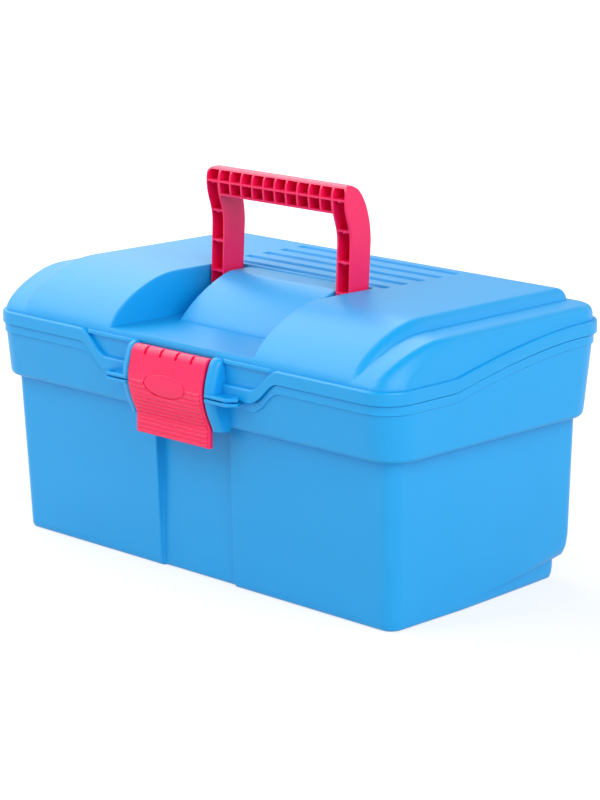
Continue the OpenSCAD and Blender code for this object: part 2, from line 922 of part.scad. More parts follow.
// The tray: a flange that rests on the ledge, outer walls, a floor and the walls between its compartments
module lift_out_tray() {
    bay = (2 * tray_half - 2 * tray_wall) / tray_bays;
    color(tray_blue) {
        difference() {
            union() {
                translate([0, 0, flange_bottom])
                    linear_extrude(tray_wall)
                        plan(flange_half, flange_front, flange_rear, band_corner - wall - flange_gap);
                translate([0, 0, tray_bottom])
                    linear_extrude(tray_depth + tray_wall)
                        tray_plan(0);
            }
            translate([0, 0, tray_bottom + tray_wall])
                linear_extrude(tray_depth + tray_wall)
                    tray_plan(tray_wall);
        }
        block([-tray_half + tray_wall / 2, tray_wall_y, tray_bottom + tray_wall / 2],
            [tray_half - tray_wall / 2, tray_wall_y + tray_wall, flange_top]);
        for (i = [1:tray_bays - 1])
            translate([-tray_half + tray_wall + i * bay, 0, 0])
                block([-tray_wall / 2, tray_front + tray_wall / 2, tray_bottom + tray_wall / 2],
                    [tray_wall / 2, tray_wall_y + tray_wall / 2, flange_top]);
    }
}

// The tray's grip: an arch for the fingers that stands on the lengthwise wall
module tray_grip() {
    color(tray_blue)
        difference() {
            block([-grip_plate_half, tray_wall_y, flange_top],
                [grip_plate_half, tray_wall_y + tray_wall, grip_plate_top]);
            block([-finger_slot_half, tray_wall_y - over, flange_top - over],
                [finger_slot_half, tray_wall_y + tray_wall + over, flange_top + finger_slot_height]);
        }
}

base_tub();
lid_shell();
carry_handle();
front_latch();
hinge_pin_left();
hinge_pin_right();
lift_out_tray();
tray_grip();
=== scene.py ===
import math

import bmesh
import bpy
import numpy as np
from mathutils import Matrix, Vector


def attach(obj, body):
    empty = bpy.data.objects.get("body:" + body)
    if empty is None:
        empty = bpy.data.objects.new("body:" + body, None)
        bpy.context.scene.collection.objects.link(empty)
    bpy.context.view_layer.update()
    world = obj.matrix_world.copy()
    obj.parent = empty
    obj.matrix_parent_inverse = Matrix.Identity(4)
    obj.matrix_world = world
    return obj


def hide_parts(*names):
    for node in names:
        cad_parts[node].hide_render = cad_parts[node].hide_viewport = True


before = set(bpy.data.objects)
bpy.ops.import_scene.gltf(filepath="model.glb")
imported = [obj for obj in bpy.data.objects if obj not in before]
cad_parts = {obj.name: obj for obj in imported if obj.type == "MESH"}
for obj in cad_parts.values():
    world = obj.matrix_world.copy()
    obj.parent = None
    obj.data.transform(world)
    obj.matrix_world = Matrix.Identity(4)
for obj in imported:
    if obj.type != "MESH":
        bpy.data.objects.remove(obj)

scene = bpy.context.scene
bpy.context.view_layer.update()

# Sizes in millimetres: X along the box, the front at -Y, Z up, the ground at 0
MM = 0.001
WALL = 2.6
THROUGH = 20.0

# Band round the top of the tub, and the seam that ends it
BAND_HALF = 194.0
BAND_FRONT = -101.3
BAND_REAR = 101.3
BAND_CORNER = 22.0
BAND_EDGE = 4.0
LEDGE = 115.0
LEDGE_TOP = LEDGE + WALL
LEAN_FRONT = 4.7
LEAN_BACK = 9.7
BAND_HEIGHT = 39.0
SEAM_FRONT = LEDGE + BAND_HEIGHT
SEAM_RISE = 17.0
SEAM_START = -42.0
SEAM_END = 80.0
SEAM_POWER = 1.6
LIP_HEIGHT = 6.0
LIP_FLARE = 0.5
LIP_ROUND = 0.5
LIP_CHAMFER = 0.6
DIP_DEPTH = 16.5
DIP_INNER = 70.0
DIP_OUTER = 97.0
DIP = SEAM_FRONT - DIP_DEPTH

# Tub
TUB_HALF = 185.3
TUB_FRONT = -93.7
TUB_REAR = 94.5
TUB_CORNER = 10.0
DRAFT_END = 3.7
DRAFT_FRONT = 5.3
LEAST_CORNER = 1.5
BOTTOM_EDGE = 2.5
FLOOR = 3.0
LEDGE_FILLET = 0.8
FOOT_HEIGHT = 15.5
FOOT_DEPTH = 9.5
FOOT_SIDE = 4.6
FOOT_FADE = -20.0
FOOT_ROUND = 6.5
OVERHANG_ROUND = 3.5
OVERHANG_HEIGHT = 10.0
FOOT_CREASE = 0.7
WALL_LEVELS = (30, 50, 70, 90, 104)
BAY_HALF = 36.0
BAY_FLOOR = -86.1
BAY_DRAFT = 0.8

# Lid
RIM_HALF = 195.0
RIM_FRONT = -108.0
RIM_REAR = 114.0
RIM_CORNER = 23.0
RIM_HEIGHT = 9.5
RIM_ROUND = 1.8
RIM_WALL = 4.3
APRON_WALL = 5.0
SEAM_GAP = 0.3
PANEL_INSET = 3.5
DECK_LIP_INSET = 0.9
DECK_INSET = 6.0
FOOT_Y = -105.0
FOOT_Z = SEAM_FRONT + RIM_HEIGHT
CROWN_TOP = 198.0
CROWN_HALF = 166.5
CROWN_SWELL = 61.0
CROWN_POWER = 1.55
CROWN_REAR = 108.0
CROWN_EDGE = 8.0
CROWN_ROLL = 9.5
CROWN_END_DROP = 11.0
CROWN_FALL = 0.8
STEP_TOP = 190.5
STEP_HALF = 192.8
STEP_SWELL = 55.0
STEP_POWER = 1.5
STEP_REAR = 111.8
STEP_CORNER = 20.0
STEP_CORNER_DEPTH = 17.0
STEP_ROLL = 7.5
STEP_ROLL_DROP = 3.3
STEP_END_SWELL = 52.0
STEP_DRAFT = 1.3
STEP_BREAK = 60.0
STEP_TURN = 86.0
STEP_START = 140.0
SOFTEN = 7.0

# Well, hump and grooves in the lid's top
WELL_HALF = 70.0
WELL_FLOOR = 167.0
SLOT_REAR = 12.0
HUMP_HALF = 53.0
HUMP_FOOT = -54.0
HUMP_SWELL = 49.0
HUMP_TOP = 197.0
HUMP_POWER = 1.3
HUMP_CROWN = 1.2
LENS_HALF = 40.0
TOP_ROUND = 1.4
GROOVE_COUNT = 5
GROOVE_HALF = 77.5
GROOVE_WIDTH = 8.0
GROOVE_DEPTH = 2.4
GROOVE_SLOPE = 1.5
GROOVE_FIRST = 18.6
GROOVE_PITCH = 18.0
MOULD_DRAFT = 0.5

# Handle
HANDLE_HALF = 68.0
LEG_INNER = 54.7
LEG_RADIUS = 9.5
PIVOT_Z = 185.0
HANDLE_TOP = 270.0
GRIP_BOTTOM = 250.0
GRIP_SPLIT = 260.0
HANDLE_CORNER = 6.0
HANDLE_EDGE = 1.2
HANDLE_BACK = 2.1
KNEE_Y = 12.0
CREST_Y = -6.0
WAIST_Y = -8.0
WAIST_Z = 230.0
NOSE_REACH = 4.0
NOSE_PULL = 13.0
CELL_REACH = 80.0
HANDLE_REACH = 90.0
RIB = 1.5
GRIP_CELLS = 10
LEG_RIB_PITCH = 21.5
LEG_CELLS = 3
NIB_RADIUS = 1.6
NIB_Y = -8.6
STUD_RADIUS = 4.0
STUD_END = 76.0
STUD_CLEAR = 0.06
BOSS_WALL = 4.0

# Latch, pillars and padlock lugs
LATCH_HALF = 36.3
LIP_Y = -110.5
LIP_BOTTOM = 101.0
LATCH_THICK = 3.0
LATCH_LEAN = 1.5
LATCH_SWELL = 6.8
LATCH_TOP = 162.4
LATCH_PIVOT_Y = -108.5
LATCH_PIVOT_Z = 158.6
BARREL_RADIUS = 3.8
SHOULDER_Z = 152.0
LATCH_STUD_RADIUS = 1.8
LATCH_STUD_END = 41.5
SLOT_COUNT = 4
SLOT_PITCH = 15.0
SLOT_WIDTH = 2.5
SLOT_HEIGHT = 5.0
SLOT_MIDDLE = 159.9
SLOT_DEPTH = 1.5
RIDGE_COUNT = 13
RIDGE_RADIUS = 1.2
RIDGE_PROUD = 0.8
RIDGE_TOP = 138.5
RIDGE_MARGIN = 2.0
OVAL_MIDDLE = 139.0
OVAL_HALF = 20.0
OVAL_HEIGHT = 8.0
OVAL_GROOVE = 1.0
OVAL_DEPTH = 0.8
OVAL_PROUD = 0.5
CATCH_HALF = 31.0
CATCH_REACH = 5.0
CATCH_LOW = 0.5
CATCH_HIGH = 4.0
HOOK_GAP = 0.5
HOOK_LOW = -4.0
HOOK_HIGH = -1.0
PILLAR_IN = 37.6
PILLAR_OUT = 45.0
PILLAR_ROUND = 5.0
PILLAR_BEVEL = 0.8
PILLAR_SET_BACK = 0.6
LUG_TIP_X = 64.5
LUG_TIP_Y = -118.0
LUG_CUT = 6.0
LUG_THICK = 2.4
LUG_SPACE = 1.0
PADLOCK_X = 55.75
PADLOCK_Y = -113.5
PADLOCK_RADIUS = 2.75

# Hinges
HINGE_HALF = 105.0
HINGE_Y = 120.0
HINGE_Z = SEAM_FRONT + SEAM_RISE
KNUCKLE_RADIUS = 5.0
KNUCKLE_LENGTH = 12.0
KNUCKLE_GAP = 0.4
PIN_RADIUS = 2.0
PIN_REACH = 25.0

# Floor in metres, the grain of the etched mould, and in degrees the crisp edges and the photograph's view
FLOOR_REACH = 12.0
ETCH_GRAIN = 0.5
CREASE_ANGLE = 32.0
AZIMUTH = 44.5
ELEVATION = 13.58

# How finely curves are drawn, and how far from an edge its rounding is drawn
CORNER_STEPS = 10
END_STEPS = 44
REAR_STEPS = 24
ROUND_STEPS = 5
UNDER_STEPS = 40
RIDGE_STEPS = 40
FACE_STEPS = 22
OVAL_STEPS = 72
EDGE_FAN = np.array([-0.8, -0.1, 0.1, 0.3, 0.5, 0.75, 1.0, 1.4, 1.9])


# Plans, seams and curves

# Places along X at which the front of a plan is drawn, closest at the recess and the dip behind the latch
FRONT_COLUMNS = np.concatenate([
    np.linspace(0, 33, 7),
    np.arange(34.4, 40.2, 0.7),
    np.linspace(42.5, 68, 7),
    np.linspace(DIP_INNER, DIP_OUTER, 21),
    np.linspace(101, 140, 8),
])


def turns(steps=ROUND_STEPS):
    """Angles of a quarter turn."""
    return np.radians(np.linspace(0, 90, steps + 1))


def quarter(radius, steps=ROUND_STEPS):
    """The two sides of a rounded edge over a quarter turn: one falls to 0, the other rises from it."""
    turn = turns(steps)
    return radius * (1 - np.sin(turn)), radius * (1 - np.cos(turn))


def rows(*columns):
    """Points from their columns. A single number fills its whole column."""
    return np.column_stack(np.broadcast_arrays(*columns))


def chain(*parts):
    """Lists of points or numbers, one after the other."""
    return np.concatenate(parts)


def outline(half, front, rear, corner):
    """A plan with round corners, anticlockwise from the middle of its front, always of the same count."""
    turn = turns(CORNER_STEPS)[1:]
    flat = half - corner
    last = FRONT_COLUMNS[-1]
    front_x = np.append(FRONT_COLUMNS, last + (flat - last) * np.linspace(0.25, 1, 4))
    end_y = np.linspace(front + corner, rear - corner, END_STEPS + 1)[1:]
    rear_x = np.linspace(flat, 0, REAR_STEPS + 1)[1:]
    right = chain(
        rows(front_x, front),
        rows(flat + corner * np.sin(turn), front + corner * (1 - np.cos(turn))),
        rows(half, end_y),
        rows(half - corner * (1 - np.cos(turn)), rear - corner * (1 - np.sin(turn))),
        rows(rear_x, rear),
    )
    return chain(right, right[-2:0:-1] * [-1, 1])


def ring(points, z):
    """A plan laid at a height, or at one height for each point."""
    return rows(*points.T, z)


def ramp(value, low, high):
    """0 below low, 1 above high, and smooth between."""
    share = np.clip((value - low) / (high - low), 0, 1)
    return share * share * (3 - 2 * share)


def seam_height(y):
    """Height of the lid seam at a depth along the ends."""
    share = np.clip((y - SEAM_START) / (SEAM_END - SEAM_START), 0, 1)
    return SEAM_FRONT + SEAM_RISE * (1 - (1 - share) ** SEAM_POWER)


def dip_drop(points):
    """Drop of the seam behind the latch, for the points on the front of a plan."""
    share = np.clip((DIP_OUTER - np.abs(points[:, 0])) / (DIP_OUTER - DIP_INNER), 0, 1)
    return np.where(points[:, 1] < BAND_FRONT / 2, DIP_DEPTH * (1 - np.cos(np.pi * share)) / 2, 0)


def swell_height(y, foot, length, rise, power):
    """Height of a curve that swells up from its foot to a flat crest."""
    share = np.clip((y - foot) / length, 0, 1)
    return rise * (1 - (1 - share) ** power) ** (1 / power)


def soft_rise(y, foot, length, power):
    """Share of a swell's height, eased where it meets the flat top."""
    reach = SOFTEN * np.clip((y - foot) / length, 0, 1)
    shifts = np.linspace(-1, 1, 9)
    return np.mean([swell_height(y + reach * shift, foot, length, 1, power) for shift in shifts], axis=0)


def swell_lines(foot, length, power, steps):
    """Depths along such a curve that follow it evenly."""
    return foot + length * (1 - np.cos(turns(steps)) ** (2 / power))


def latch_face(z):
    """Depth of the latch's face at a height."""
    share = (np.maximum(z, LEDGE) - LEDGE) / (LATCH_TOP - LEDGE)
    return LIP_Y - LATCH_LEAN * share - LATCH_SWELL * np.sin(np.pi * share)


def cubic(start, pull, push, end, steps):
    """Points of a cubic curve."""
    t = np.linspace(0, 1, steps + 1)[:, None]
    s = 1 - t
    ends = s ** 3 * np.array(start) + t ** 3 * np.array(end)
    return ends + 3 * s * s * t * np.array(pull) + 3 * s * t * t * np.array(push)


def circle(centre, radius, steps=32):
    """Points of a circle, anticlockwise."""
    turn = np.linspace(0, 2 * np.pi, steps, endpoint=False)
    return rows(centre[0] + radius * np.cos(turn), centre[1] + radius * np.sin(turn))


def rectangle(back, front, low, high):
    """Corners of an upright rectangle, seen from the side."""
    return [[back, low], [front, low], [front, high], [back, high]]


# Closed solids and what joins and cuts them

def new_object(name, points, faces, edges=()):
    mesh = bpy.data.meshes.new(name)
    mesh.from_pydata([tuple(point) for point in points], list(edges), faces)
    obj = bpy.data.objects.new(name, mesh)
    scene.collection.objects.link(obj)
    return obj


def loft(rings, closed=False):
    """A solid skinned over rings of equal count, capped at both ends, or joined end to end if closed."""
    count = len(rings[0])
    last = len(rings)
    faces = []
    for row in range(last if closed else last - 1):
        here = row * count
        there = (row + 1) % last * count
        for column in range(count):
            beside = (column + 1) % count
            faces.append((here + column, here + beside, there + beside, there + column))
    if not closed:
        faces.append(tuple(range(count - 1, -1, -1)))
        faces.append(tuple(range((last - 1) * count, last * count)))
    solid = new_object("solid", chain(*rings), faces)
    work = bmesh.new()
    work.from_mesh(solid.data)
    bmesh.ops.recalc_face_normals(work, faces=work.faces)
    work.to_mesh(solid.data)
    work.free()
    return solid


def inset_outline(points, amount):
    """Outline drawn in by an amount. The points run anticlockwise."""
    after = np.roll(points, -1, axis=0) - points
    after = after / np.linalg.norm(after, axis=1)[:, None]
    inward = rows(-after[:, 1], after[:, 0])
    before = np.roll(inward, 1, axis=0)
    share = 1 + np.sum(inward * before, axis=1)
    return points + amount * (inward + before) / np.maximum(share, 0.3)[:, None]


def prism(points, axis, low, high, edge=0.0):
    """An outline pulled along an axis. The edges of its two ends are rounded where an edge is given."""
    points = np.array(points, float)
    x, y = points.T
    if np.sum(x * np.roll(y, -1) - y * np.roll(x, -1)) < 0:
        points = points[::-1]
    insets, depths = quarter(edge, 4) if edge else (np.zeros(1), np.zeros(1))
    places = chain(low + depths, high - depths[::-1])
    order = {"x": (2, 0, 1), "y": (0, 2, 1), "z": (0, 1, 2)}[axis]
    rings = []
    for place, inset in zip(places, chain(insets, insets[::-1])):
        rings.append(ring(inset_outline(points, inset), place)[:, order])
    return loft(rings)


def settle(obj):
    """Turns what the modifiers make into the object's own plain mesh."""
    bpy.context.view_layer.update()
    graph = bpy.context.evaluated_depsgraph_get()
    mesh = bpy.data.meshes.new_from_object(obj.evaluated_get(graph))
    old = obj.data
    obj.modifiers.clear()
    obj.data = mesh
    bpy.data.meshes.remove(old)
    return obj


def combine(body, tool, operation):
    """Joins, cuts or meets two closed solids and removes the tool."""
    modifier = body.modifiers.new(operation, "BOOLEAN")
    modifier.operation = operation
    modifier.solver = "MANIFOLD"
    modifier.object = tool
    settle(body)
    bpy.data.objects.remove(tool)
    return body


def join(body, *tools):
    for tool in tools:
        combine(body, tool, "UNION")


def cut(body, *tools):
    for tool in tools:
        combine(body, tool, "DIFFERENCE")


# Nodes, and geometry node trees for what repeats

def add_node(tree, kind, settings=None, values=None, links=None):
    """Adds a node with its settings, values and links. A node that is linked gives its first output."""
    node = tree.nodes.new(kind)
    for name, value in (settings or {}).items():
        setattr(node, name, value)
    for name, value in (values or {}).items():
        node.inputs[name].default_value = value
    for name, source in (links or {}).items():
        socket = source.outputs[0] if isinstance(source, bpy.types.Node) else source
        tree.links.new(socket, node.inputs[name])
    return node


def new_tree(name, **kinds):
    """A geometry node tree with named inputs. Returns it, the inputs' identifiers and their sockets."""
    tree = bpy.data.node_groups.new(name, "GeometryNodeTree")
    identifiers = {}
    for label, kind in {"Geometry": "Geometry", **kinds, "Material": "Material"}.items():
        made = tree.interface.new_socket(label, in_out="INPUT", socket_type="NodeSocket" + kind)
        identifiers[label] = made.identifier
    tree.interface.new_socket("Geometry", in_out="OUTPUT", socket_type="NodeSocketGeometry")
    return tree, identifiers, tree.nodes.new("NodeGroupInput").outputs


def end_tree(tree, given, points, shape, turned=(0, 0, 0)):
    """Ends a tree with a shape on each point, made into real geometry with its material."""
    placed = add_node(tree, "GeometryNodeInstanceOnPoints", values={"Rotation": turned},
                      links={"Points": points, "Instance": shape})
    real = add_node(tree, "GeometryNodeRealizeInstances", links={"Geometry": placed})
    finish = add_node(tree, "GeometryNodeSetMaterial",
                      links={"Geometry": real, "Material": given["Material"]})
    add_node(tree, "NodeGroupOutput", links={"Geometry": finish})


def blocks_tree():
    """Blocks in a row: for the handle's cells and the latch's slots."""
    tree, identifiers, given = new_tree("row_of_blocks", Count="Int", First="Vector", Step="Vector",
                                        Size="Vector")
    line = add_node(tree, "GeometryNodeMeshLine", {"mode": "OFFSET"}, links={
        "Count": given["Count"], "Start Location": given["First"], "Offset": given["Step"]})
    block = add_node(tree, "GeometryNodeMeshCube", links={"Size": given["Size"]})
    end_tree(tree, given, line, block)
    return tree, identifiers


def bars_tree():
    """Round bars along X, evenly along a path: for the latch's grip ridges."""
    tree, identifiers, given = new_tree("bars_along_path", Count="Int", Radius="Float", Length="Float")
    path = add_node(tree, "GeometryNodeMeshToCurve", links={"Mesh": given["Geometry"]})
    places = add_node(tree, "GeometryNodeResampleCurve", links={"Curve": path, "Count": given["Count"]})
    rod = add_node(tree, "GeometryNodeMeshCylinder", values={"Vertices": 12}, links={
        "Radius": given["Radius"], "Depth": given["Length"]})
    end_tree(tree, given, places, rod, (0, math.radians(90), 0))
    return tree, identifiers


def pips_tree():
    """Small round pips on points: for the nibs under the handle's leg ribs."""
    tree, identifiers, given = new_tree("pips_on_points", Radius="Float")
    pip = add_node(tree, "GeometryNodeMeshUVSphere", values={"Segments": 16, "Rings": 8},
                   links={"Radius": given["Radius"]})
    end_tree(tree, given, given["Geometry"], pip)
    return tree, identifiers


def grow(name, made_tree, values, points=((0, 0, 0),), edges=()):
    """Runs a tree on points and edges in the pink plastic, and keeps its result as a plain mesh."""
    tree, identifiers = made_tree
    obj = new_object(name, points, [], edges)
    modifier = obj.modifiers.new(name, "NODES")
    modifier.node_group = tree
    for label, value in {**values, "Material": MATERIALS["accent"]}.items():
        modifier[identifiers[label]] = value
    return settle(obj)


BLOCKS = blocks_tree()
BARS = bars_tree()
PIPS = pips_tree()


# Materials

def linear(hex_colour):
    """Linear colour of an sRGB hex colour."""
    channels = [int(hex_colour[i:i + 2], 16) / 255 for i in (1, 3, 5)]
    return tuple(c / 12.92 if c <= 0.04045 else ((c + 0.055) / 1.055) ** 2.4 for c in channels) + (1.0,)


def new_material(name):
    """An empty material. Returns it, its node tree and the place on the object that its textures follow."""
    material = bpy.data.materials.new(name)
    material.use_nodes = True
    tree = material.node_tree
    tree.nodes.clear()
    return material, tree, add_node(tree, "ShaderNodeTexCoord").outputs["Object"]


def noise(tree, size_mm, detail, place):
    """Noise with spots of about a given size."""
    return add_node(tree, "ShaderNodeTexNoise", values={"Scale": 1 / (size_mm * MM), "Detail": detail},
                    links={"Vector": place})


def grained_surface(tree, grain, rough, strength, relief_mm, values, links):
    """Ends a material with a surface whose gloss and fine relief follow a grain."""
    gloss = add_node(tree, "ShaderNodeMapRange", values={"To Min": rough[0], "To Max": rough[1]},
                     links={"Value": grain})
    bump = add_node(tree, "ShaderNodeBump", values={"Strength": strength, "Distance": relief_mm * MM},
                    links={"Height": grain})
    surface = add_node(tree, "ShaderNodeBsdfPrincipled", values=values, links={
        "Roughness": gloss, "Normal": bump, **links})
    add_node(tree, "ShaderNodeOutputMaterial", links={"Surface": surface})


def moulded_plastic(name, light, dark, gloss, flow_mm):
    """Injection-moulded plastic: a faint flow in the colour, and a fine etched grain in the gloss."""
    material, tree, place = new_material(name)
    flow = noise(tree, flow_mm, 2.0, place)
    tint = add_node(tree, "ShaderNodeMix", {"data_type": "RGBA"}, links={"Factor": flow})
    colours = [socket for socket in tint.inputs if socket.type == "RGBA"]
    colours[0].default_value = linear(dark)
    colours[1].default_value = linear(light)
    shade = [socket for socket in tint.outputs if socket.type == "RGBA"][0]
    grain = noise(tree, ETCH_GRAIN, 3.0, place)
    grained_surface(tree, grain, rough=(gloss - 0.04, gloss + 0.04), strength=0.12, relief_mm=0.05,
                    values={"IOR": 1.49, "Specular IOR Level": 0.5}, links={"Base Color": shade})
    return material


def drawn_wire(name, colour):
    """Bright drawn steel wire: fine lines along its length."""
    material, tree, place = new_material(name)
    along = add_node(tree, "ShaderNodeMapping", values={"Scale": (0.05, 1, 1)}, links={"Vector": place})
    lines = noise(tree, 0.3, 2.0, along)
    grained_surface(tree, lines, rough=(0.2, 0.38), strength=0.1, relief_mm=0.02,
                    values={"Base Color": linear(colour), "Metallic": 1.0}, links={})
    return material


MATERIALS = {
    # Tub and lid: blue polypropylene from a fine-etched mould
    "shell": moulded_plastic("moulded_polypropylene_blue", "#03A0E6", "#019DE2", 0.40, 30),
    # Handle and latch: pink polypropylene from a smoother mould
    "accent": moulded_plastic("moulded_polypropylene_pink", "#FB1660", "#F6125A", 0.33, 25),
    # Tray: paler blue polypropylene
    "tray": moulded_plastic("moulded_polypropylene_pale_blue", "#4AB0EF", "#43A9E9", 0.38, 30),
    # Hinge pins: drawn steel wire
    "pin": drawn_wire("drawn_steel_wire", "#B8BCC2"),
}


def present(obj, name, body, slot, *nodes):
    """Finishes a piece: its name, metres, crisp edges, the material for its slot and its body, and hides
    the nodes it replaces.
    """
    obj.name = name
    obj.data.transform(Matrix.Scale(MM, 4))
    obj.data.materials.clear()
    obj.data.materials.append(MATERIALS[slot])
    obj.data.polygons.foreach_set("material_index", np.zeros(len(obj.data.polygons), np.int32))
    obj.data.shade_smooth()
    obj.data.set_sharp_from_angle(angle=math.radians(CREASE_ANGLE))
    weigh = obj.modifiers.new("even_shading", "WEIGHTED_NORMAL")
    weigh.keep_sharp = True
    weigh.weight = 60
    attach(obj, body)
    if nodes:
        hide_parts(*nodes)


# Tub with its band, one skin outside and in

def tub_plan(z, inset=0.0, side=0.0, rear=0.0):
    """The tub's plan at a height, drawn in by an inset, and by more at its ends and its back."""
    share = (LEDGE - z) / LEDGE
    half = TUB_HALF - DRAFT_END * share - side - inset
    front = TUB_FRONT + DRAFT_FRONT * share + inset
    return outline(half, front, TUB_REAR - rear - inset, max(LEAST_CORNER, TUB_CORNER - inset))


def foot_share(points):
    """How much of the stepped foot a point of the tub's plan has: none at the front, all at the back."""
    return np.clip((points[:, 1] - FOOT_FADE) / (TUB_REAR - TUB_CORNER - FOOT_FADE), 0, 1)


def foot_plan(z, inset=0.0):
    """The tub's plan below the step of its foot."""
    full = tub_plan(z, inset)
    drawn = tub_plan(z, inset, FOOT_SIDE, FOOT_DEPTH)
    amount = foot_share(full)[:, None]
    return full * (1 - amount) + drawn * amount


def with_bay(points, inset=0.0, wider=0.0):
    """A plan with the flat recess below the latch pressed into its front, deeper by an inset, and wider."""
    half = BAY_HALF + wider
    inside = 1 - ramp(np.abs(points[:, 0]), half - BAY_DRAFT, half + BAY_DRAFT)
    depth = np.where(points[:, 1] < 0, np.maximum(BAY_FLOOR + inset - points[:, 1], 0), 0)
    return points + rows(0, depth * inside)


def band_plan(z, inset=0.0):
    """The band's plan at a height, or at one for each point, leaning out at the front and the back."""
    points = outline(BAND_HALF - inset, BAND_FRONT + inset, BAND_REAR - inset, BAND_CORNER - inset)
    share = (points[:, 1] - BAND_FRONT) / (BAND_REAR - BAND_FRONT)
    lean = LEAN_BACK / (BAND_HEIGHT + SEAM_RISE) * share - LEAN_FRONT / BAND_HEIGHT * (1 - share)
    return points + rows(0, lean * (z - LEDGE))


def tub_skin():
    """The tub's skin by levels: up its outside from the bottom to the seam, then down its inside."""
    share = foot_share(tub_plan(FOOT_HEIGHT))
    rear = share ** 3
    levels = []
    for inward, rise in zip(*quarter(1.0)):
        inset = BOTTOM_EDGE * inward
        plan = with_bay(foot_plan(BOTTOM_EDGE * rise, inset), inset)
        levels.append((plan, (BOTTOM_EDGE + FOOT_ROUND * rear) * rise))
    foot_top = FOOT_HEIGHT / 3 + (FOOT_HEIGHT - FOOT_HEIGHT / 3) * share
    wall = with_bay(tub_plan(FOOT_HEIGHT / 2))
    drawn = with_bay(tub_plan(FOOT_HEIGHT / 2, OVERHANG_ROUND))
    levels.append((with_bay(foot_plan(FOOT_HEIGHT / 2)), foot_top - 0.3))
    for rise in np.linspace(0, 1, 6):
        amount = (rear * (1 - rise) ** 2)[:, None]
        height = foot_top + (FOOT_CREASE + OVERHANG_HEIGHT * rear) * rise
        levels.append((wall * (1 - amount) + drawn * amount, height))
    levels += [(with_bay(tub_plan(z)), z) for z in (*WALL_LEVELS, LEDGE - LEDGE_FILLET)]
    for down, spread in list(zip(*quarter(LEDGE_FILLET)))[1:]:
        levels.append((with_bay(tub_plan(LEDGE, -spread), -spread), LEDGE - down))
    for inset, rise in zip(*quarter(BAND_EDGE)):
        levels.append((band_plan(LEDGE + rise, inset), LEDGE + rise))
    points = band_plan(SEAM_FRONT)
    seam = seam_height(points[:, 1]) - dip_drop(points)
    low = LEDGE + BAND_EDGE
    high = seam - LIP_HEIGHT - LIP_CHAMFER
    for part in np.linspace(0.25, 1, 4):
        z = low + (high - low) * part
        levels.append((band_plan(z), z))
    levels.append((band_plan(seam, -LIP_FLARE), seam - LIP_HEIGHT))
    for down, inset in zip(*quarter(LIP_ROUND, 3)):
        levels.append((band_plan(seam - down, inset - LIP_FLARE), seam - down))
    levels.append((band_plan(seam, WALL - LIP_CHAMFER), seam))
    levels.append((band_plan(seam, WALL), seam - LIP_CHAMFER))
    levels.append((band_plan(LEDGE_TOP, WALL), LEDGE_TOP))
    for z in (LEDGE_TOP, 100, 60, FOOT_HEIGHT + FLOOR + FOOT_DEPTH):
        levels.append((with_bay(tub_plan(z, WALL), WALL, WALL), z))
    for z in (FOOT_HEIGHT + FLOOR, FLOOR + 2, FLOOR):
        plan = foot_plan(z, WALL + (1.0 if z == FLOOR else 0.0))
        levels.append((with_bay(plan, WALL, WALL), z))
    return loft([ring(plan, z) for plan, z in levels])


# Pillars, lugs, catch and hinge knuckles

def pillar(side, low, high, foot_round, top_round):
    """A pillar beside the latch, swelled like the latch's face, with a round outer edge and round ends."""
    foot_drawn, foot_rise = quarter(foot_round)
    top_drawn, top_drop = quarter(top_round)
    lower = rows(low + foot_rise, foot_drawn)
    upper = rows(high - top_drop, top_drawn)[::-1]
    middle = np.linspace(lower[-1, 0], upper[0, 0], 15)[1:-1]
    back = BAND_FRONT + 0.8
    inward, along = quarter(PILLAR_ROUND)
    rings = []
    for z, drawn in chain(lower, rows(middle, 0), upper):
        front = latch_face(z) + PILLAR_SET_BACK + drawn
        outer = PILLAR_OUT - 0.7 * drawn
        inner = [[PILLAR_IN, back], [PILLAR_IN, front + PILLAR_BEVEL], [PILLAR_IN + PILLAR_BEVEL, front]]
        plan = chain(inner, rows(outer - inward, front + along), [[outer + 1.0, back]])
        rings.append(ring(plan * [side, 1], z))
    return loft(rings)


def lug(side, low, root):
    """A padlock lug: a blunt tongue beside a pillar."""
    shoulder = LUG_TIP_X - LUG_CUT
    points = np.array([[PILLAR_IN + 1, root], [shoulder, root], [LUG_TIP_X, LUG_TIP_Y + LUG_CUT],
                       [shoulder, LUG_TIP_Y], [PILLAR_IN + 1, LUG_TIP_Y]])
    return prism(points * [side, 1], "z", low, low + LUG_THICK, 0.7)


def padlock_hole(side):
    rim = circle((side * PADLOCK_X, PADLOCK_Y), PADLOCK_RADIUS)
    return prism(rim, "z", DIP - THROUGH, DIP + THROUGH)


def bar(y, z, radius, low, high, edge=0.0):
    """A round bar along X."""
    return prism(circle((y, z), radius), "x", low, high, edge)


def knuckle(middle, arm):
    """A knuckle of a hinge and its arm, about a place along X."""
    low = middle - KNUCKLE_LENGTH / 2
    high = low + KNUCKLE_LENGTH
    return [bar(HINGE_Y, HINGE_Z, KNUCKLE_RADIUS, low, high, 0.5), prism(arm, "x", low, high, 0.4)]


def base_knuckles(side):
    arm_top = HINGE_Z - RIM_HEIGHT
    arm_foot = arm_top - 3 * KNUCKLE_RADIUS
    lean = LEAN_BACK / (BAND_HEIGHT + SEAM_RISE)
    rear = BAND_REAR + lean * (np.array([arm_foot, arm_top]) - LEDGE) - WALL / 2
    arm = [[HINGE_Y, HINGE_Z], [HINGE_Y, HINGE_Z - KNUCKLE_RADIUS], [rear[0], arm_foot], [rear[1], arm_top],
           [HINGE_Y - KNUCKLE_RADIUS, HINGE_Z - SEAM_GAP]]
    apart = KNUCKLE_LENGTH + KNUCKLE_GAP
    return knuckle(side * HINGE_HALF - apart, arm) + knuckle(side * HINGE_HALF + apart, arm)


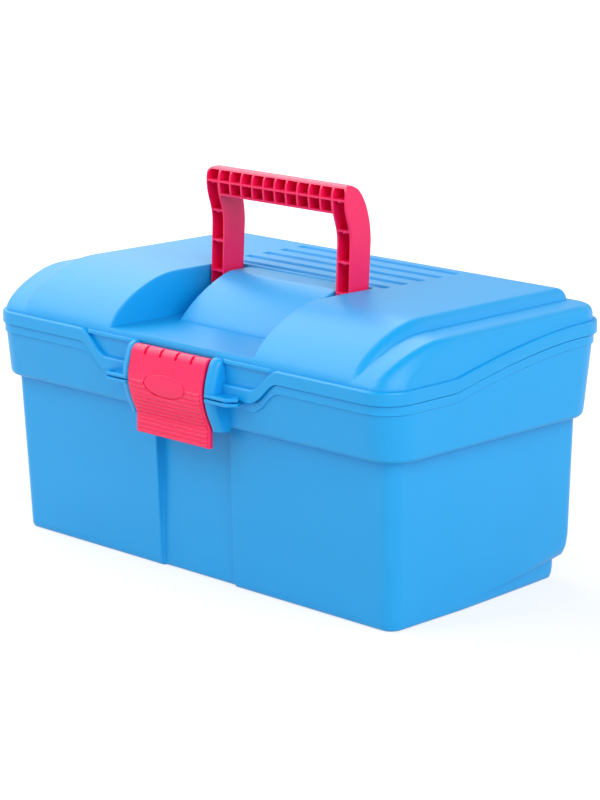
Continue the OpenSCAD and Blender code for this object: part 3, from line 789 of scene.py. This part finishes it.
def lid_knuckle(side):
    reach = RIM_REAR - 1
    low = HINGE_Z + 2 * SEAM_GAP
    arm = [[HINGE_Y, HINGE_Z], [HINGE_Y, HINGE_Z + KNUCKLE_RADIUS], [reach, HINGE_Z + RIM_HEIGHT - 1],
           [reach, low], [HINGE_Y - KNUCKLE_RADIUS + 1, low]]
    return knuckle(side * HINGE_HALF, arm)


def pin_bores():
    return [bar(HINGE_Y, HINGE_Z, PIN_RADIUS, middle - PIN_REACH, middle + PIN_REACH)
            for middle in (-HINGE_HALF, HINGE_HALF)]


def build_base():
    base = tub_skin()
    lug_low = DIP - LUG_SPACE / 2 - LUG_THICK
    front = BAND_FRONT + WALL / 2
    catch = rectangle(front, BAND_FRONT - CATCH_REACH, LEDGE + CATCH_LOW, LEDGE + CATCH_HIGH)
    join(base, prism(catch, "x", -CATCH_HALF, CATCH_HALF, 0.5))
    for side in (-1, 1):
        join(base, pillar(side, LEDGE - 2, DIP - SEAM_GAP, 1.2, 0.4), lug(side, lug_low, front),
             *base_knuckles(side))
        cut(base, padlock_hole(side))
    cut(base, *pin_bores())
    present(base, "tub_shell", "base", "shell", "base_tub")


# Lid: a rim along the seam, a crown with a step at each end, and their hollows

def rim_plan(inset):
    """The rim's plan drawn in by an amount, or by one amount for each point."""
    if np.ndim(inset):
        near = rim_plan(float(np.min(inset)))
        far = rim_plan(float(np.max(inset)))
        share = ((inset - np.min(inset)) / max(np.ptp(inset), 1e-6))[:, None]
        return near * (1 - share) + far * share
    return outline(RIM_HALF - inset, RIM_FRONT + inset, RIM_REAR - inset, RIM_CORNER - inset)


def rim_skin():
    """The rim's skin by levels: up its outside to the deck and down its inside, dipped behind the latch."""
    points = rim_plan(0.0)
    deck = seam_height(points[:, 1]) + RIM_HEIGHT
    drop = dip_drop(points)
    low = deck - RIM_HEIGHT - drop
    bead = low + RIM_HEIGHT
    beside = np.where(np.abs(points[:, 0]) > PILLAR_OUT, 1.0, 0.0)
    proud = np.clip((drop - 1.0) / 2.5, 0, 1) * beside
    back = RIM_WALL + (APRON_WALL - RIM_WALL) * drop / DIP_DEPTH
    shelf_top = seam_height(rim_plan(DECK_INSET)[:, 1]) + RIM_HEIGHT
    levels = [(0.45, low + SEAM_GAP), (0.13, low + 0.45), (0.0, low + 0.8)]
    levels += [(inset, bead - down) for down, inset in zip(*quarter(RIM_ROUND, 6))]
    levels.append((PANEL_INSET, bead))
    reach = PANEL_INSET - DECK_LIP_INSET
    lip = [(0.0, 2.8), (reach, 2.5), (reach, 1.0), (reach - 0.3, 0.3), (reach - 1.0, 0.0)]
    for step, (out, down) in enumerate(lip):
        levels.append((PANEL_INSET + 0.02 * (step + 1) - out * proud, np.maximum(bead, deck - down)))
    levels += [(DECK_INSET, shelf_top), (DECK_INSET, shelf_top - WALL)]
    levels += [(back, deck - WALL), (back, low + 0.9), (3.2, low + SEAM_GAP)]
    return loft([ring(rim_plan(inset), z) for inset, z in levels], closed=True)


def groove_lines():
    return [GROOVE_FIRST + i * GROOVE_PITCH for i in range(GROOVE_COUNT)]


def rolled(distance, radius):
    """Drop of a rounded edge at a distance in from it."""
    share = np.clip(1 - distance / np.maximum(radius, 1e-6), 0, 1)
    return radius * (1 - np.sqrt(1 - share * share))


def hump_height(x, y, inset):
    """Height of the hump between the handle's legs, shrunk by an inset, or of the floor beside it."""
    foot = HUMP_FOOT + inset
    rise = swell_height(y, foot, HUMP_SWELL, HUMP_TOP - WELL_FLOOR, HUMP_POWER)
    lift = HUMP_CROWN * (1 - (x / LENS_HALF) ** 2) * rise / (HUMP_TOP - WELL_FLOOR)
    rise = np.minimum(rise + lift, HUMP_TOP - WELL_FLOOR)
    half = HUMP_HALF - inset
    if not inset:
        rise = rise - rolled(half - MOULD_DRAFT - np.abs(x), np.minimum(TOP_ROUND, rise / 2))
    beside = ramp(np.abs(x), half - MOULD_DRAFT, half + 0.1)
    return WELL_FLOOR - inset + rise * (1 - beside)


def lid_top(x, y, z, inset):
    """Height of the crown at a place once the well, the hump and the grooves are taken from it."""
    side = np.abs(x) - WELL_HALF - inset
    rear = y - SLOT_REAR - inset
    outside = np.maximum(ramp(side, -0.1, MOULD_DRAFT), ramp(rear, -0.1, MOULD_DRAFT))
    low = np.minimum(z, hump_height(x, y, inset))
    brow = z
    if not inset:
        away = np.hypot(np.maximum(side - MOULD_DRAFT, 0), np.maximum(rear - MOULD_DRAFT, 0))
        brow = z - rolled(away, np.minimum(TOP_ROUND, (z - low) / 2))
    height = low + (brow - low) * outside
    half = GROOVE_HALF + inset
    within = 1 - ramp(np.abs(x), half - GROOVE_SLOPE, half)
    if inset:
        across = ramp(y, SLOT_REAR, SLOT_REAR + MOULD_DRAFT)
        return np.minimum(height, z - GROOVE_DEPTH * within * across)
    for centre in groove_lines():
        across = 1 - ramp(np.abs(y - centre), GROOVE_WIDTH / 2 - GROOVE_SLOPE, GROOVE_WIDTH / 2)
        height = height - GROOVE_DEPTH * within * across
    return height


def crown_lines(foot, length, flat_end, inset):
    """Depths at which the crown is drawn, closest where its top turns."""
    lines = [swell_lines(foot, length, CROWN_POWER, 36),
             swell_lines(HUMP_FOOT + inset, HUMP_SWELL, HUMP_POWER, 30),
             np.arange(foot + length, flat_end, 4.0),
             SLOT_REAR + inset + np.array([-0.6, -0.1, 0.1, 0.3, 0.5, 0.7, 0.9, 1.2, 1.5, 1.9]), [flat_end]]
    for centre in groove_lines():
        offsets = GROOVE_WIDTH / 2 - GROOVE_SLOPE * np.array([-0.2, 0, 0.15, 0.32, 0.5, 0.68, 0.85, 1, 1.3])
        lines.append(centre + chain([0], -offsets, offsets))
    if inset:
        lines.append(SLOT_REAR + np.array([-0.2, 0, 0.25, 0.5]))
    every = np.unique(np.round(chain(*lines), 3))
    return every[(every >= foot) & (every <= flat_end)]


def crown_columns(inset, flat_half):
    """Places along X at which the crown is drawn, closest at the edges of the hump, well and grooves."""
    edges = [HUMP_HALF - inset - np.append(EDGE_FAN, 3.0),
             WELL_HALF + inset + np.append(EDGE_FAN, 2.6),
             GROOVE_HALF + inset - GROOVE_SLOPE * np.array([1.5, 1, 0.8, 0.5, 0.2, 0, -0.5]),
             np.linspace(0, flat_half, 24)]
    right = np.unique(np.round(chain(*edges), 3))
    return chain(-right[:0:-1], right)


def crown_tilt(y):
    """Fall of the crown's flat top from its crest to its back."""
    crest = FOOT_Y + CROWN_SWELL
    return CROWN_FALL * (0.5 - np.clip((y - crest) / (CROWN_REAR - CROWN_EDGE - crest), 0, 1))


def underside(rear, foot, bottom):
    """Underside of a block of the lid, from back to front: flat, or along the seam without a height."""
    y = np.linspace(rear, foot, UNDER_STEPS)
    return y, np.full(UNDER_STEPS, bottom) if bottom else seam_height(y) + RIM_HEIGHT - WALL / 2


def crown_block(inset, front_inset, bottom):
    """The crown as a solid, drawn in by an inset for its hollow. Its ends curve down into the steps."""
    foot = FOOT_Y + front_inset
    base = FOOT_Z - inset
    length = CROWN_SWELL - front_inset
    top = CROWN_TOP - inset
    rear = CROWN_REAR - inset
    edge = CROWN_EDGE - inset
    roll = CROWN_ROLL - inset
    half = CROWN_HALF - inset
    y = crown_lines(foot, length, rear - edge, inset)
    share = soft_rise(y, foot, length, CROWN_POWER)
    z = base + (top - base + crown_tilt(y)) * share
    inward, down = quarter(edge, 8)
    back_y = np.append(rear - inward[1:], rear)
    back_z = np.append(z[-1] - down[1:], STEP_TOP - inset - 4)
    under_y, under_z = underside(rear, foot, bottom)
    plain_y = chain(y, back_y)
    plain_z = chain(z, back_z)
    share = np.clip((plain_z - base) / (top - base), 0, 1)
    behind = roll * ramp(plain_y, rear - edge, rear)
    end_y = np.where(plain_y < 0, plain_y + roll * (1 - share), plain_y - behind)
    end_z = plain_z - CROWN_END_DROP * np.where(plain_y < 0, share, ramp(plain_z, base + 16, top - 2))
    rings = []
    for x in crown_columns(inset, half - roll):
        height = lid_top(x, y, z, inset)
        rings.append(rows(x, chain(plain_y, under_y), chain(height, back_z, under_z)))
    for turn in turns(8)[1:]:
        bend = 1 - np.cos(turn)
        ys = chain(plain_y + (end_y - plain_y) * bend, under_y)
        zs = chain(plain_z + (end_z - plain_z) * bend, under_z)
        place = half - roll + roll * np.sin(turn)
        rings.append(rows(place, ys, zs))
        rings.insert(0, rows(-place, ys, zs))
    return loft(rings)


def step_block(side, inset, bottom):
    """The step at one end of the lid. It follows the rim's plan, and its top rolls into a flat crescent."""
    foot = FOOT_Y + inset
    rear = STEP_REAR - inset
    base = FOOT_Z - inset
    top = STEP_TOP - inset
    corner = STEP_CORNER - inset
    half = STEP_HALF - inset
    bend_y = rear - corner
    end_foot = foot + STEP_CORNER_DEPTH
    turn = turns(36)
    across = np.cos(turn) ** (2 / STEP_POWER)
    along = np.sin(turn) ** (2 / STEP_POWER)
    back = turns(8)
    front_y = foot + STEP_SWELL * (1 - across)
    flat_y = np.linspace(foot + STEP_SWELL, rear - STEP_ROLL, 44)[1:-1]
    rise = soft_rise(chain(front_y, flat_y), foot, STEP_SWELL, STEP_POWER)
    top_y = chain(flat_y, rear - STEP_ROLL * (1 - np.sin(back)), [rear])
    deck_z = seam_height(rear) + RIM_HEIGHT
    back_z = np.append(top - (top - deck_z - 0.5) * (1 - np.cos(back)), deck_z - 1)
    y = chain(front_y, top_y)
    z = chain(base + (top - base) * rise, back_z)
    end_y = chain(end_foot + STEP_END_SWELL * (1 - across),
                  np.clip(top_y, end_foot + STEP_END_SWELL, bend_y))
    end_z = chain(base + (top - base - STEP_ROLL_DROP) * along,
                  np.minimum(z[len(turn):], top - STEP_ROLL_DROP))
    turned = np.clip((top_y - bend_y) / (corner - STEP_ROLL), 0, 1)
    radius = chain(corner + (STEP_ROLL - corner) * along, STEP_ROLL + (corner - STEP_ROLL) * turned)
    lean = STEP_DRAFT * np.clip((end_z - base) / (top - STEP_ROLL_DROP - base), 0, 1)
    bent = chain(STEP_BREAK + (STEP_TURN - STEP_BREAK) * along ** 4, np.full(len(top_y), STEP_TURN))
    under_y, under_z = underside(rear, foot, bottom)
    ys = chain(y, under_y)
    zs = chain(z, under_z)
    ends_y = chain(end_y, np.linspace(bend_y, end_foot, UNDER_STEPS))
    ends_z = chain(end_z, under_z)
    radii = chain(radius, np.full(UNDER_STEPS, corner))
    leans = chain(lean, np.zeros(UNDER_STEPS))
    full = np.radians(chain(bent, np.linspace(STEP_TURN, STEP_BREAK, UNDER_STEPS)))
    rings = [rows(side * STEP_START, ys, zs)]
    for share in np.linspace(0, 1, 13):
        bend = (1 - np.cos(share * full)) / (1 - np.cos(full))
        x = side * (half - leans - radii * (np.sin(full) - np.sin(share * full)))
        rings.append(rows(x, ys + (ends_y - ys) * bend, zs + (ends_z - zs) * bend))
    return loft(rings)


def build_lid():
    lid = rim_skin()
    join(lid, crown_block(0.0, 0.0, None), *[step_block(side, 0.0, None) for side in (-1, 1)])
    hollow = crown_block(WALL, 2 * WALL, LEDGE)
    join(hollow, *[step_block(side, WALL, LEDGE) for side in (-1, 1)])
    cut(lid, hollow)
    stud_reach = STUD_END + 1
    latch_reach = LATCH_STUD_END + 1
    for side in (-1, 1):
        ends = sorted([side * (WELL_HALF + 0.6), side * (stud_reach + WALL)])
        boss = bar(0, PIVOT_Z, STUD_RADIUS + BOSS_WALL, *ends, 0.4)
        join(lid, boss, pillar(side, DIP + SEAM_GAP, FOOT_Z, 0.4, 3.5),
             lug(side, DIP + LUG_SPACE / 2, FOOT_Y + 1.3), *lid_knuckle(side))
        cut(lid, padlock_hole(side))
    stud_bore = bar(0, PIVOT_Z, STUD_RADIUS + STUD_CLEAR, -stud_reach, stud_reach)
    latch_bore = bar(LATCH_PIVOT_Y, LATCH_PIVOT_Z, LATCH_STUD_RADIUS + STUD_CLEAR,
                     -latch_reach, latch_reach)
    cut(lid, *pin_bores(), stud_bore, latch_bore)
    present(lid, "lid_moulding", "lid", "shell", "lid_shell")


# Handle: a ribbed loop with open cells on its front

def handle_nose():
    """The handle's front from its nose down to its waist, seen from the side."""
    nose = np.array([-LEG_RADIUS - NOSE_REACH, GRIP_SPLIT])
    waist = np.array([WAIST_Y, WAIST_Z])
    return cubic(nose, nose - [0, NOSE_PULL], waist + [0, NOSE_PULL], waist, 12)


def handle_outline(forward, down):
    """Side outline of the handle, moved forwards and down for the backs of its cells."""
    knee = np.array([KNEE_Y, WAIST_Z])
    crest = np.array([CREST_Y, HANDLE_TOP])
    nose = handle_nose()
    turn = np.radians(np.linspace(180, 360, 25))
    points = chain(
        rows(LEG_RADIUS * np.cos(turn), PIVOT_Z + LEG_RADIUS * np.sin(turn)),
        cubic(knee, knee + [0, 16], crest + [12, -4], crest, 16),
        cubic(crest, crest - [6, 0], nose[0] + [0, 6], nose[0], 10)[1:],
        nose[1:],
    )
    return points - [forward, down]


def handle_front(inset):
    """Front outline of the handle: two legs and the grip, round outside, with its outside drawn in."""
    low = PIVOT_Z - 2 * LEG_RADIUS
    half = HANDLE_HALF - inset
    inward, along = quarter(HANDLE_CORNER - inset, 8)
    right = chain([[half, low]], rows(half - along, HANDLE_TOP - inset - inward))
    inner = np.array([[LEG_INNER, GRIP_BOTTOM], [LEG_INNER, low]])
    return chain(right, right[::-1] * [-1, 1], inner[::-1] * [-1, 1], inner)


def cell_row(x, z, width, height, count=1, step=(0, 0, 0)):
    """Blocks for a row of the handle's open cells, from the middle of the first one."""
    return grow("cells", BLOCKS, {"Count": count, "First": (x, 0, z), "Step": step,
                                  "Size": (width, CELL_REACH, height)})


def cell_cutters():
    """Blocks for every open cell of the handle: two rows along the grip and one down each leg."""
    pitch = 2 * LEG_INNER / GRIP_CELLS
    high = HANDLE_TOP - GRIP_SPLIT
    leg = HANDLE_HALF - LEG_INNER
    along = (pitch, 0, 0)
    first = -LEG_INNER + pitch / 2
    foot_top = GRIP_SPLIT - LEG_CELLS * LEG_RIB_PITCH
    foot_low = PIVOT_Z - LEG_RADIUS / 2
    lower = GRIP_BOTTOM + high / 2 + RIB / 4
    upper = GRIP_SPLIT + high / 2
    rows = [cell_row(first, lower, pitch - RIB, high - 1.5 * RIB, GRIP_CELLS, along),
            cell_row(first, upper, pitch - RIB, high - RIB, GRIP_CELLS, along)]
    for side in (-1, 1):
        x = side * (LEG_INNER + leg / 2)
        rows.append(cell_row(x, upper, leg - 1.5 * RIB, high - RIB))
        rows.append(cell_row(x, GRIP_SPLIT - LEG_RIB_PITCH / 2, leg - 2 * RIB, LEG_RIB_PITCH - RIB,
                             LEG_CELLS, (0, 0, -LEG_RIB_PITCH)))
        rows.append(cell_row(x, (foot_low + foot_top) / 2, leg - 2 * RIB, foot_top - foot_low - RIB))
    return rows


def build_handle():
    handle = prism(handle_outline(0, 0), "x", -HANDLE_HALF, HANDLE_HALF, HANDLE_EDGE)
    reach = CELL_REACH / 2
    combine(handle, prism(handle_front(0), "y", -reach, reach), "INTERSECT")
    for cells in cell_cutters():
        backs = prism(handle_outline(HANDLE_BACK, RIB), "x", -HANDLE_REACH, HANDLE_REACH)
        combine(cells, backs, "INTERSECT")
        combine(cells, prism(handle_front(RIB), "y", -reach, reach), "INTERSECT")
        cut(handle, cells)
    for side in (-1, 1):
        ends = sorted([side * (HANDLE_HALF - 1), side * STUD_END])
        join(handle, bar(0, PIVOT_Z, STUD_RADIUS, *ends, 0.5))
    present(handle, "handle_loop", "handle", "accent", "carry_handle")


def build_nibs():
    """Small nibs under the middle of each leg rib, on the front of the handle."""
    leg_middle = (LEG_INNER + HANDLE_HALF) / 2
    nose_y, nose_z = handle_nose()[::-1].T
    points = []
    for side in (-1, 1):
        for i in range(LEG_CELLS + 1):
            z = GRIP_SPLIT - i * LEG_RIB_PITCH - RIB / 2
            y = np.interp(z, nose_z, nose_y) if z > WAIST_Z else NIB_Y
            points.append((side * leg_middle, y + NIB_RADIUS, z))
    nibs = grow("handle_nibs", PIPS, {"Radius": NIB_RADIUS}, points)
    present(nibs, "handle_nibs", "handle", "accent")


# Latch: a swelled plate on a barrel, with a hook behind its lip

def latch_front():
    """The latch's face from its lip up and over its round shoulder to the top of its barrel."""
    z = np.linspace(LEDGE, SHOULDER_Z, FACE_STEPS)
    face = rows(latch_face(z), z)
    crest = np.array([LATCH_PIVOT_Y - 1.0, LATCH_TOP])
    over = cubic(face[-1], face[-1] + [0.7, 6.0], crest - [4.0, 0], crest, 14)
    return chain([[LIP_Y, LIP_BOTTOM]], face, over[1:])


def latch_outline():
    """Side outline of the latch: its front, the core of its barrel and its back."""
    front = latch_front()
    back = front[FACE_STEPS::-1] + [LATCH_THICK, 0]
    core = [[LATCH_PIVOT_Y, LATCH_TOP], [LATCH_PIVOT_Y, LATCH_PIVOT_Z],
            [LATCH_PIVOT_Y - BARREL_RADIUS / 2, LATCH_PIVOT_Z - BARREL_RADIUS]]
    return chain(front, core, back)


def shoulder_slots():
    """Four upright slots that follow the latch's shoulder."""
    first = (-SLOT_PITCH * (SLOT_COUNT - 1) / 2, LATCH_PIVOT_Y - 6.0, SLOT_MIDDLE)
    slots = grow("slots", BLOCKS, {"Count": SLOT_COUNT, "First": first, "Step": (SLOT_PITCH, 0, 0),
                                   "Size": (SLOT_WIDTH, 9.0, SLOT_HEIGHT)})
    behind = BAND_FRONT + 5
    within = chain(latch_front()[::-1] + [SLOT_DEPTH, -SLOT_DEPTH],
                   [[behind, LIP_BOTTOM - 5], [behind, LATCH_TOP - SLOT_DEPTH]])
    return combine(slots, prism(within, "x", -LATCH_HALF, LATCH_HALF), "DIFFERENCE")


def oval(drawn):
    """Points of the latch's oval, drawn in by an amount."""
    return circle((0, 0), 1, OVAL_STEPS) * [OVAL_HALF - drawn, OVAL_HEIGHT - drawn] + [0, OVAL_MIDDLE]


def oval_pad():
    """A plain oval on the latch's face, among its ridges."""
    edge = OVAL_GROOVE / 2
    levels = [(edge, -1.0), (edge, OVAL_PROUD / 2), (edge + 0.2, OVAL_PROUD - 0.1)]
    levels += [(drawn, OVAL_PROUD) for drawn in (edge + 0.6, OVAL_HEIGHT / 2, OVAL_HEIGHT - 0.5)]
    rings = []
    for drawn, proud in levels:
        x, z = oval(drawn).T
        rings.append(rows(x, latch_face(z) - proud, z))
    return loft(rings)


def oval_groove():
    """A fine groove round the oval, deepest at its lower left."""
    turn = np.linspace(0, 2 * np.pi, OVAL_STEPS, endpoint=False)
    depth = OVAL_DEPTH * (0.55 + 0.45 * np.cos(turn - np.radians(225)))
    sides = []
    for drawn, deep in [(OVAL_GROOVE / 2, -2.0), (-OVAL_GROOVE / 2, -2.0), (-OVAL_GROOVE / 3, depth),
                        (OVAL_GROOVE / 3, depth)]:
        x, z = oval(drawn).T
        sides.append(rows(x, latch_face(z) + deep, z))
    return loft(list(np.stack(sides, axis=1)), closed=True)


def build_latch():
    latch = prism(latch_outline(), "x", -LATCH_HALF, LATCH_HALF, 0.8)
    hook = rectangle(LIP_Y + LATCH_THICK - 1, BAND_FRONT - CATCH_REACH - HOOK_GAP,
                     LEDGE + HOOK_LOW, LEDGE + HOOK_HIGH)
    barrel = bar(LATCH_PIVOT_Y, LATCH_PIVOT_Z, BARREL_RADIUS, -LATCH_HALF, LATCH_HALF, 0.6)
    studs = bar(LATCH_PIVOT_Y, LATCH_PIVOT_Z, LATCH_STUD_RADIUS, -LATCH_STUD_END, LATCH_STUD_END, 0.4)
    join(latch, barrel, studs, prism(hook, "x", -CATCH_HALF, CATCH_HALF, 0.4))
    cut(latch, shoulder_slots(), oval_groove())
    present(latch, "latch_plate", "latch", "accent", "front_latch")


def build_ridges():
    """Soft grip ridges across the lower part of the latch's face, with the oval among them."""
    z = np.linspace(LIP_BOTTOM + RIDGE_RADIUS, RIDGE_TOP, RIDGE_STEPS)
    points = rows(0, latch_face(z) + RIDGE_RADIUS - RIDGE_PROUD, z)
    edges = [(i, i + 1) for i in range(RIDGE_STEPS - 1)]
    length = 2 * (LATCH_HALF - RIDGE_MARGIN)
    sizes = {"Count": RIDGE_COUNT, "Radius": RIDGE_RADIUS, "Length": length}
    ridges = grow("latch_ridges", BARS, sizes, points, edges)
    cut(ridges, prism(oval(-OVAL_GROOVE / 2), "y", LIP_Y - THROUGH, LIP_Y + THROUGH))
    join(ridges, oval_pad())
    present(ridges, "latch_ridges", "latch", "accent")


build_base()
build_lid()
build_handle()
build_nibs()
build_latch()
build_ridges()

# The CAD's own tray and pins, with their materials
for node, slot in (("lift_out_tray", "tray"), ("tray_grip", "tray"), ("hinge_pin_left", "pin"),
                   ("hinge_pin_right", "pin")):
    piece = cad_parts[node]
    piece.data.materials.clear()
    piece.data.materials.append(MATERIALS[slot])


# Floor, light and camera

def white_floor():
    """Pale floor that shows white to the eye and keeps the object's soft shadow."""
    material, tree, place = new_material("white_floor")
    path = add_node(tree, "ShaderNodeLightPath")
    seen = path.outputs["Is Camera Ray"]
    for ray in ("Is Glossy Ray", "Is Transmission Ray"):
        seen = add_node(tree, "ShaderNodeMath", {"operation": "MAXIMUM"},
                        links={0: seen, 1: path.outputs[ray]})
    plain = add_node(tree, "ShaderNodeBsdfDiffuse", values={"Color": (0.65, 0.65, 0.65, 1)})
    shadow = add_node(tree, "ShaderNodeBsdfDiffuse", values={"Color": (0.42, 0.42, 0.42, 1)})
    # The far floor gets less light from the lamps, so it glows a little more to stay white
    away = add_node(tree, "ShaderNodeVectorMath", {"operation": "LENGTH"}, links={"Vector": place})
    glow = add_node(tree, "ShaderNodeMapRange",
                    values={"From Min": 0.4, "From Max": 2.0, "To Min": 0.62, "To Max": 0.9},
                    links={"Value": away.outputs["Value"]})
    white = add_node(tree, "ShaderNodeEmission", values={"Color": (1, 1, 1, 1)}, links={"Strength": glow})
    shown = add_node(tree, "ShaderNodeAddShader", links={0: shadow, 1: white})
    surface = add_node(tree, "ShaderNodeMixShader", links={0: seen, 1: plain, 2: shown})
    add_node(tree, "ShaderNodeOutputMaterial", links={"Surface": surface})
    corners = [(x * FLOOR_REACH, y * FLOOR_REACH, 0) for x, y in ((-1, -1), (1, -1), (1, 1), (-1, 1))]
    floor = new_object("floor", corners, [(0, 1, 2, 3)])
    floor.data.materials.append(material)


def softbox(name, energy, width, height, place):
    """A soft lamp that faces the box."""
    lamp = bpy.data.lights.new(name, "AREA")
    lamp.energy = energy
    lamp.shape = "RECTANGLE"
    lamp.size = width
    lamp.size_y = height
    box = bpy.data.objects.new(name, lamp)
    box.location = place
    box.rotation_euler = (Vector((0, 0, 0.15)) - Vector(place)).to_track_quat("-Z", "Y").to_euler()
    scene.collection.objects.link(box)


def studio_light():
    """A pale studio, darker overhead, with wide soft lamps to the left and smaller ones round the box."""
    world = bpy.data.worlds.new("pale_studio")
    world.use_nodes = True
    tree = world.node_tree
    tree.nodes.clear()
    seen = add_node(tree, "ShaderNodeLightPath").outputs["Is Camera Ray"]
    place = add_node(tree, "ShaderNodeTexCoord").outputs["Generated"]
    height = add_node(tree, "ShaderNodeSeparateXYZ", links={"Vector": place}).outputs["Z"]
    level = add_node(tree, "ShaderNodeMapRange", values={"To Min": 0.95, "To Max": 0.05},
                     links={"Value": height})
    strength = add_node(tree, "ShaderNodeMath", {"operation": "MAXIMUM"}, links={0: level, 1: seen})
    sky = add_node(tree, "ShaderNodeBackground", values={"Color": (1, 1, 1, 1)},
                   links={"Strength": strength})
    add_node(tree, "ShaderNodeOutputWorld", links={"Surface": sky})
    scene.world = world
    softbox("wall_high", 44.0, 3.6, 1.2, (-1.7, 0.1, 1.9))
    softbox("wall_low", 9.0, 3.6, 1.0, (-2.1, 0.1, 0.8))
    softbox("front", 14.0, 1.2, 1.2, (-0.75, -1.75, 1.6))
    softbox("fill", 35.0, 1.6, 2.2, (1.8, -0.4, 1.45))
    softbox("back", 6.0, 2.0, 1.2, (0.7, 2.0, 1.3))


def photo_camera():
    """A camera at the photograph's viewing angle and distance."""
    lens = bpy.data.cameras.new("camera")
    lens.lens = 123.9
    lens.sensor_width = 36.0
    lens.clip_end = 100.0
    camera = bpy.data.objects.new("camera", lens)
    camera.location = (1.3235, -1.3349, 0.5637)
    camera.rotation_euler = (math.radians(90 - ELEVATION), 0, math.radians(AZIMUTH))
    scene.collection.objects.link(camera)
    scene.camera = camera


white_floor()
studio_light()
photo_camera()
scene.view_settings.view_transform = "Standard"
